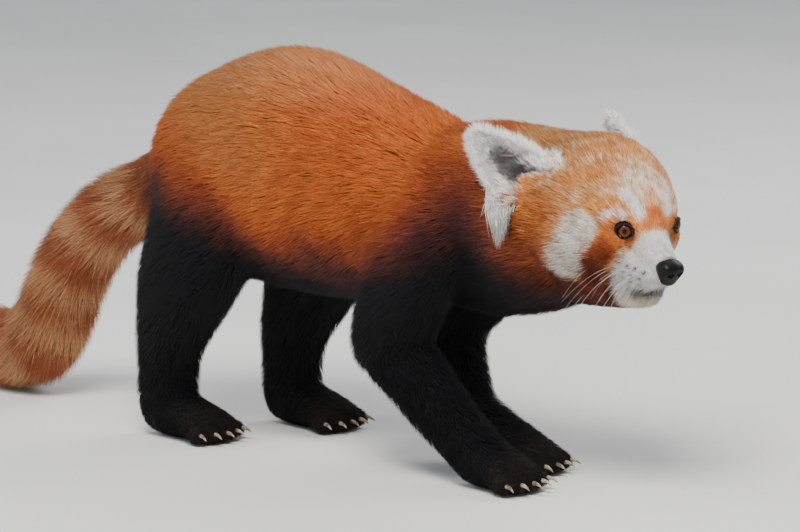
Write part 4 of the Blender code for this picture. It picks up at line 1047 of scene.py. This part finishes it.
def clear_of_bare_skin(places):
    """False for places on an eye, under the nose pad or on the lips."""
    clear = np.ones(len(places), bool)
    for s in SIDES:
        local, off = seen_by_eye(places, s)
        clear &= ~((off < BARE_LID) & (local[:, 0] > 0) & (np.linalg.norm(local, axis=1) < 0.014))
    off_nose = (on_face(places) - np.array(NOSE_AT)) / (np.array(NOSE_SIZE) * (1.0, 0.98, 1.02))
    clear &= np.linalg.norm(off_nose, axis=1) > 1.0
    clear &= nearest_on(MOUTH[CORNER_POINTS:-CORNER_POINTS], places)[1] > BARE_AROUND_LIPS
    return clear


centres = np.empty(len(skin.data.polygons) * 3)
skin.data.polygons.foreach_get("center", centres)
centres = centres.reshape(-1, 3)
face_at = on_face(centres)
from_nose = np.linalg.norm(face_at - NOSE_TIP, axis=1)
is_ear = ear_of(face_at)[0] >= 0.5
is_head = (past_neck(centres) > -0.004) & ~is_ear
is_tail = centres[:, 0] < -0.228
is_leg = (centres[:, 2] < 0.105) & ~is_tail & ~is_head
is_fore = centres[:, 0] > -0.07
is_neck = (centres[:, 0] > 0.05) & ~is_head & ~is_ear & ~is_leg
is_flank = ~(is_head | is_ear | is_tail | is_leg | is_neck)
is_left = centres[:, 1] >= 0
PLOTS = (
    ("muzzle_coat", is_head & (from_nose < 0.040), 36000, 0.17),
    ("cheek_coat", is_head & (from_nose >= 0.040) & (from_nose < 0.078), 46000, 0.36),
    ("nape_coat", is_head & (from_nose >= 0.078), 30000, 0.32),
    ("ear_coat", is_ear, 30000, 0.14),
    ("neck_coat", is_neck, 32000, 0.28),
    ("right_flank_coat", is_flank & ~is_left, 47000, 0.22),
    ("left_flank_coat", is_flank & is_left, 47000, 0.22),
    ("foreleg_coat", is_leg & is_fore, 27000, 0.30),
    ("hindleg_coat", is_leg & ~is_fore, 29000, 0.30),
    ("tail_coat", is_tail, 44000, 0.26),
)
FIRST_SEED, QUICK_SHARE = 100, 0.4
planted_share = 1.0
coats = []
for number, (name, chosen, tufts, contrast) in enumerate(PLOTS):
    coats.append(grow(name, np.flatnonzero(chosen), tufts * planted_share, FIRST_SEED + number, contrast))


# The tufts of the ears
# Long soft white hair that grows along the lower edge of each ear's cup and hangs over the cheek. Each
# tuft is a bent blade, and all of them gather towards one point under the ear.
EAR_TUFTS, GATHER_SIDE, GATHER_DROP, TUFT_BEND, CHART_COLUMNS = 520, 0.006, 0.032, 0.0040, 30
ear_draw = np.random.default_rng(31)
for s, side in zip(SIDES, ("right", "left")):
    roots, tips = [], []
    gathered = np.array(in_head(s, EAR_BACK_EDGE)) + np.array((GATHER_SIDE, s * GATHER_SIDE, -GATHER_DROP))
    for _ in range(EAR_TUFTS):
        root = np.array(in_head(s, ear_place(ear_draw.uniform(-0.02, 0.34), -ear_draw.uniform(0.50, 1.0))))
        reach = ear_draw.beta(1.8, 1.8)
        aside = ear_draw.normal(size=3) * 0.0040 * (1.15 - reach)
        roots.append(root)
        tips.append(root + (gathered - root) * (0.30 + 0.70 * reach) + aside)
    roots, tips = np.array(roots), np.array(tips)
    outward = np.tile(np.array((0.1, s * 1.0, 0.15)), (EAR_TUFTS, 1))
    across = unit(np.cross(outward, tips - roots))
    wide = ear_draw.uniform(0.0006, 0.0011, EAR_TUFTS)
    middles = (roots + tips) / 2 + outward * TUFT_BEND
    points, triangles = blades(roots, tips, across, unit(outward), wide, middles)
    colour = np.tile(WHITE, (EAR_TUFTS, 1)) * ear_draw.uniform(0.62, 1.0, EAR_TUFTS)[:, None]
    shades = np.stack([colour * 0.8] * 3 + [colour] * 4, axis=1).reshape(-1, 3)
    each = np.arange(EAR_TUFTS)
    on_chart = (np.stack((each % CHART_COLUMNS, each // CHART_COLUMNS), axis=1) + 0.5) / CHART_COLUMNS
    coats.append(coat_mesh(f"ear_tuft_{side}", points, triangles, shades, patches(on_chart, BENT_CHART)))


# The colouring of the coat and the skin
# Hair is satin and skin is matt. Both show the colour that the markings gave them at each point, a
# little uneven, and the skin much darker, as it lies in the shade of the hair.
def marked(name, roughness, specular, scale, darkest, lightest, raised=None):
    """A material with the colours of the markings, made uneven between two shares of them."""
    material, nodes, links, shader = surface(name, roughness, specular)
    painted = nodes.new("ShaderNodeAttribute")
    painted.attribute_name = "markings"
    _, grain = mottled(nodes, links, scale, (0, 0, 0), (1, 1, 1))
    lightness = nodes.new("ShaderNodeMapRange")
    lightness.inputs["To Min"].default_value, lightness.inputs["To Max"].default_value = darkest, lightest
    links.new(grain, lightness.inputs["Value"])
    varied = nodes.new("ShaderNodeVectorMath")
    varied.operation = "SCALE"
    links.new(painted.outputs["Color"], varied.inputs[0])
    links.new(lightness.outputs["Result"], varied.inputs["Scale"])
    links.new(varied.outputs["Vector"], shader.inputs["Base Color"])
    if raised:
        bumpy(nodes, links, shader, grain, *raised)
    return material


fur = marked("fur", 0.60, 0.22, 600, 0.80, 1.18)
for coat in coats:
    coat.data.transform(Matrix.Translation(SETTLED))
    coat.data.materials.append(fur)
    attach(coat, "root")

paint(skin.data, markings(inner))
skin.data.transform(Matrix.Translation(SETTLED))
skin.data.materials.clear()
skin.data.materials.append(marked("hide", 0.85, 0.2, 350, 0.28, 0.62, (0.6, 0.001)))
skin.data.shade_smooth()
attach(skin, "root")
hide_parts(*[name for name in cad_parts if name.split("_")[0] not in ("eye", "nose")])


# The whiskers
# Stiff white hairs that stand out from the sides of the muzzle, with a few over each eye. Each is a thin
# bar that narrows to its tip and sags under its own weight.
WHISKER_STEPS, WHISKER_RADIUS, WHISKER_ROOT = 11, 0.00010, 0.001
BROW_HAIRS, BROW_STEPS, BROW_LENGTH, BROW_RADIUS = 3, 6, 0.018, 0.00013


def hair(place, way, sag, length, steps, radius, taper):
    """A bent hair that grows from the skin near a place and ends much thinner."""
    root, normal, _, _ = skin_tree.find_nearest(place)
    shares = [i / steps for i in range(steps + 1)]
    path = [root - normal * WHISKER_ROOT + (way + sag * f) * (length * f) for f in shares]
    return thread(path, [radius * (1 - taper * f) for f in shares], 5)


draw = random.Random(5)
hairs = []
for s in SIDES:
    for row in range(WHISKER_ROWS):
        for k in range(WHISKERS):
            ahead, aside = -0.10 - 0.22 * k + draw.uniform(-0.2, 0.2), s * draw.uniform(0.4, 0.75)
            way = Vector((ahead, aside, -0.05 - 0.42 * row + draw.uniform(-0.15, 0.15)))
            way = (HEAD.to_3x3() @ way).normalized()
            length = draw.uniform(0.020, 0.030) + 0.007 * k
            sag = Vector((-0.25 + draw.uniform(-0.15, 0.15), -s * 0.25, -0.75 + draw.uniform(-0.25, 0.25)))
            place = in_head(s, whisker_root(row, k))
            hairs.append(hair(place, way, sag, length, WHISKER_STEPS, WHISKER_RADIUS, 0.7))
    for k in range(BROW_HAIRS):
        way = (HEAD.to_3x3() @ Vector((0.15 - 0.3 * k, s * 0.35, 0.9))).normalized()
        place = in_head(s, (-0.004 - 0.004 * k, 0.017 + 0.004 * k, 0.016))
        hairs.append(hair(place, way, Vector((-0.35, 0, -0.1)), BROW_LENGTH, BROW_STEPS, BROW_RADIUS, 0.75))
whisker_hair = two_toned("whisker_hair", 0.35, 0.5, 80, shade(225, 220, 212), shade(250, 248, 244))
piece_of("whiskers", hairs, whisker_hair)


# The claws
# Small, sharp, curved and half drawn in, of ivory horn in two mottled tones. Each is a bar that
# bends down from the end of its toe and narrows to a point.
CLAW_LENGTH, CLAW_RADIUS, CLAW_STEPS, LEAST_CLAW_RADIUS = 0.0066, 0.0017, 8, 0.0001
claw_parts = []
for s in SIDES:
    for foot, length in ((FORE_FEET[s], PAW_LENGTH), (HIND_FEET[s], FOOT_LENGTH)):
        for placed in toe_frames(*foot, length):
            placed = placed @ Matrix.Translation((TOE_SIZE[0] * 0.80, 0, TOE_SIZE[2] * 0.10))
            path, radii = [], []
            for i in range(CLAW_STEPS + 1):
                f = i / CLAW_STEPS
                ahead, height = CLAW_LENGTH * (f * 1.25 - 0.25), 0.0012 * f - CLAW_LENGTH * 0.62 * f * f
                path.append(placed @ Vector((ahead, 0, height)))
                radii.append(max(CLAW_RADIUS * (1 - f) ** 0.62, LEAST_CLAW_RADIUS))
            claw_parts.append(thread(path, radii, 10))
horn = two_toned("horn", 0.38, 0.5, 260, shade(92, 78, 64), shade(180, 164, 140), (0.2, 0.0003))
piece_of("claws", claw_parts, horn)


# Floor, lights and camera
# A plain pale studio floor, a large soft lamp high on the camera's side, two weaker ones to fill, and
# the camera that sees the model as the photograph does.
floor_mesh = bpy.data.meshes.new("floor")
floor_mesh.from_pydata([(-30, -30, 0), (30, -30, 0), (30, 30, 0), (-30, 30, 0)], [], [(0, 1, 2, 3)])
floor_mesh.materials.append(two_toned("pale_floor", 0.9, 0.1, 3, shade(226, 226, 224), shade(234, 234, 232)))
in_scene("floor", floor_mesh)

world = bpy.data.worlds.new("studio")
world.use_nodes = True
sky = world.node_tree.nodes["Background"].inputs
sky["Color"].default_value, sky["Strength"].default_value = (0.86, 0.90, 0.95, 1), 0.55
bpy.context.scene.world = world


def lamp(name, place, aim, size, power, colour):
    data = bpy.data.lights.new(name, "AREA")
    data.size, data.energy, data.color = size, power, colour
    made = in_scene(name, data)
    made.location = place
    made.rotation_euler = (Vector(aim) - Vector(place)).to_track_quat("-Z", "Y").to_euler()


lamp("key", (1.1, -1.5, 2.3), (0.05, 0, 0.15), 1.1, 92, (1.0, 0.97, 0.92))
lamp("fill", (-1.6, -1.6, 1.2), (0, 0, 0.15), 1.8, 22, (0.92, 0.96, 1.0))
lamp("rim", (0.3, 2.0, 1.8), (0, 0, 0.2), 1.4, 34, (1.0, 0.99, 0.95))

AZIMUTH, ELEVATION, DISTANCE, LENS = math.radians(42), math.radians(9), 3.28, 210.2
LOOKED_AT = Vector((0.0528, -0.0678, 0.1561)) + SETTLED
level = math.cos(ELEVATION)
back = Vector((math.sin(AZIMUTH) * level, -math.cos(AZIMUTH) * level, math.sin(ELEVATION)))
camera_data = bpy.data.cameras.new("camera")
camera_data.lens, camera_data.sensor_width, camera_data.clip_end = LENS, 36, 100
camera = in_scene("camera", camera_data)
camera.location = LOOKED_AT + back * DISTANCE
camera.rotation_euler = (-back).to_track_quat("-Z", "Y").to_euler()
bpy.context.scene.camera = camera
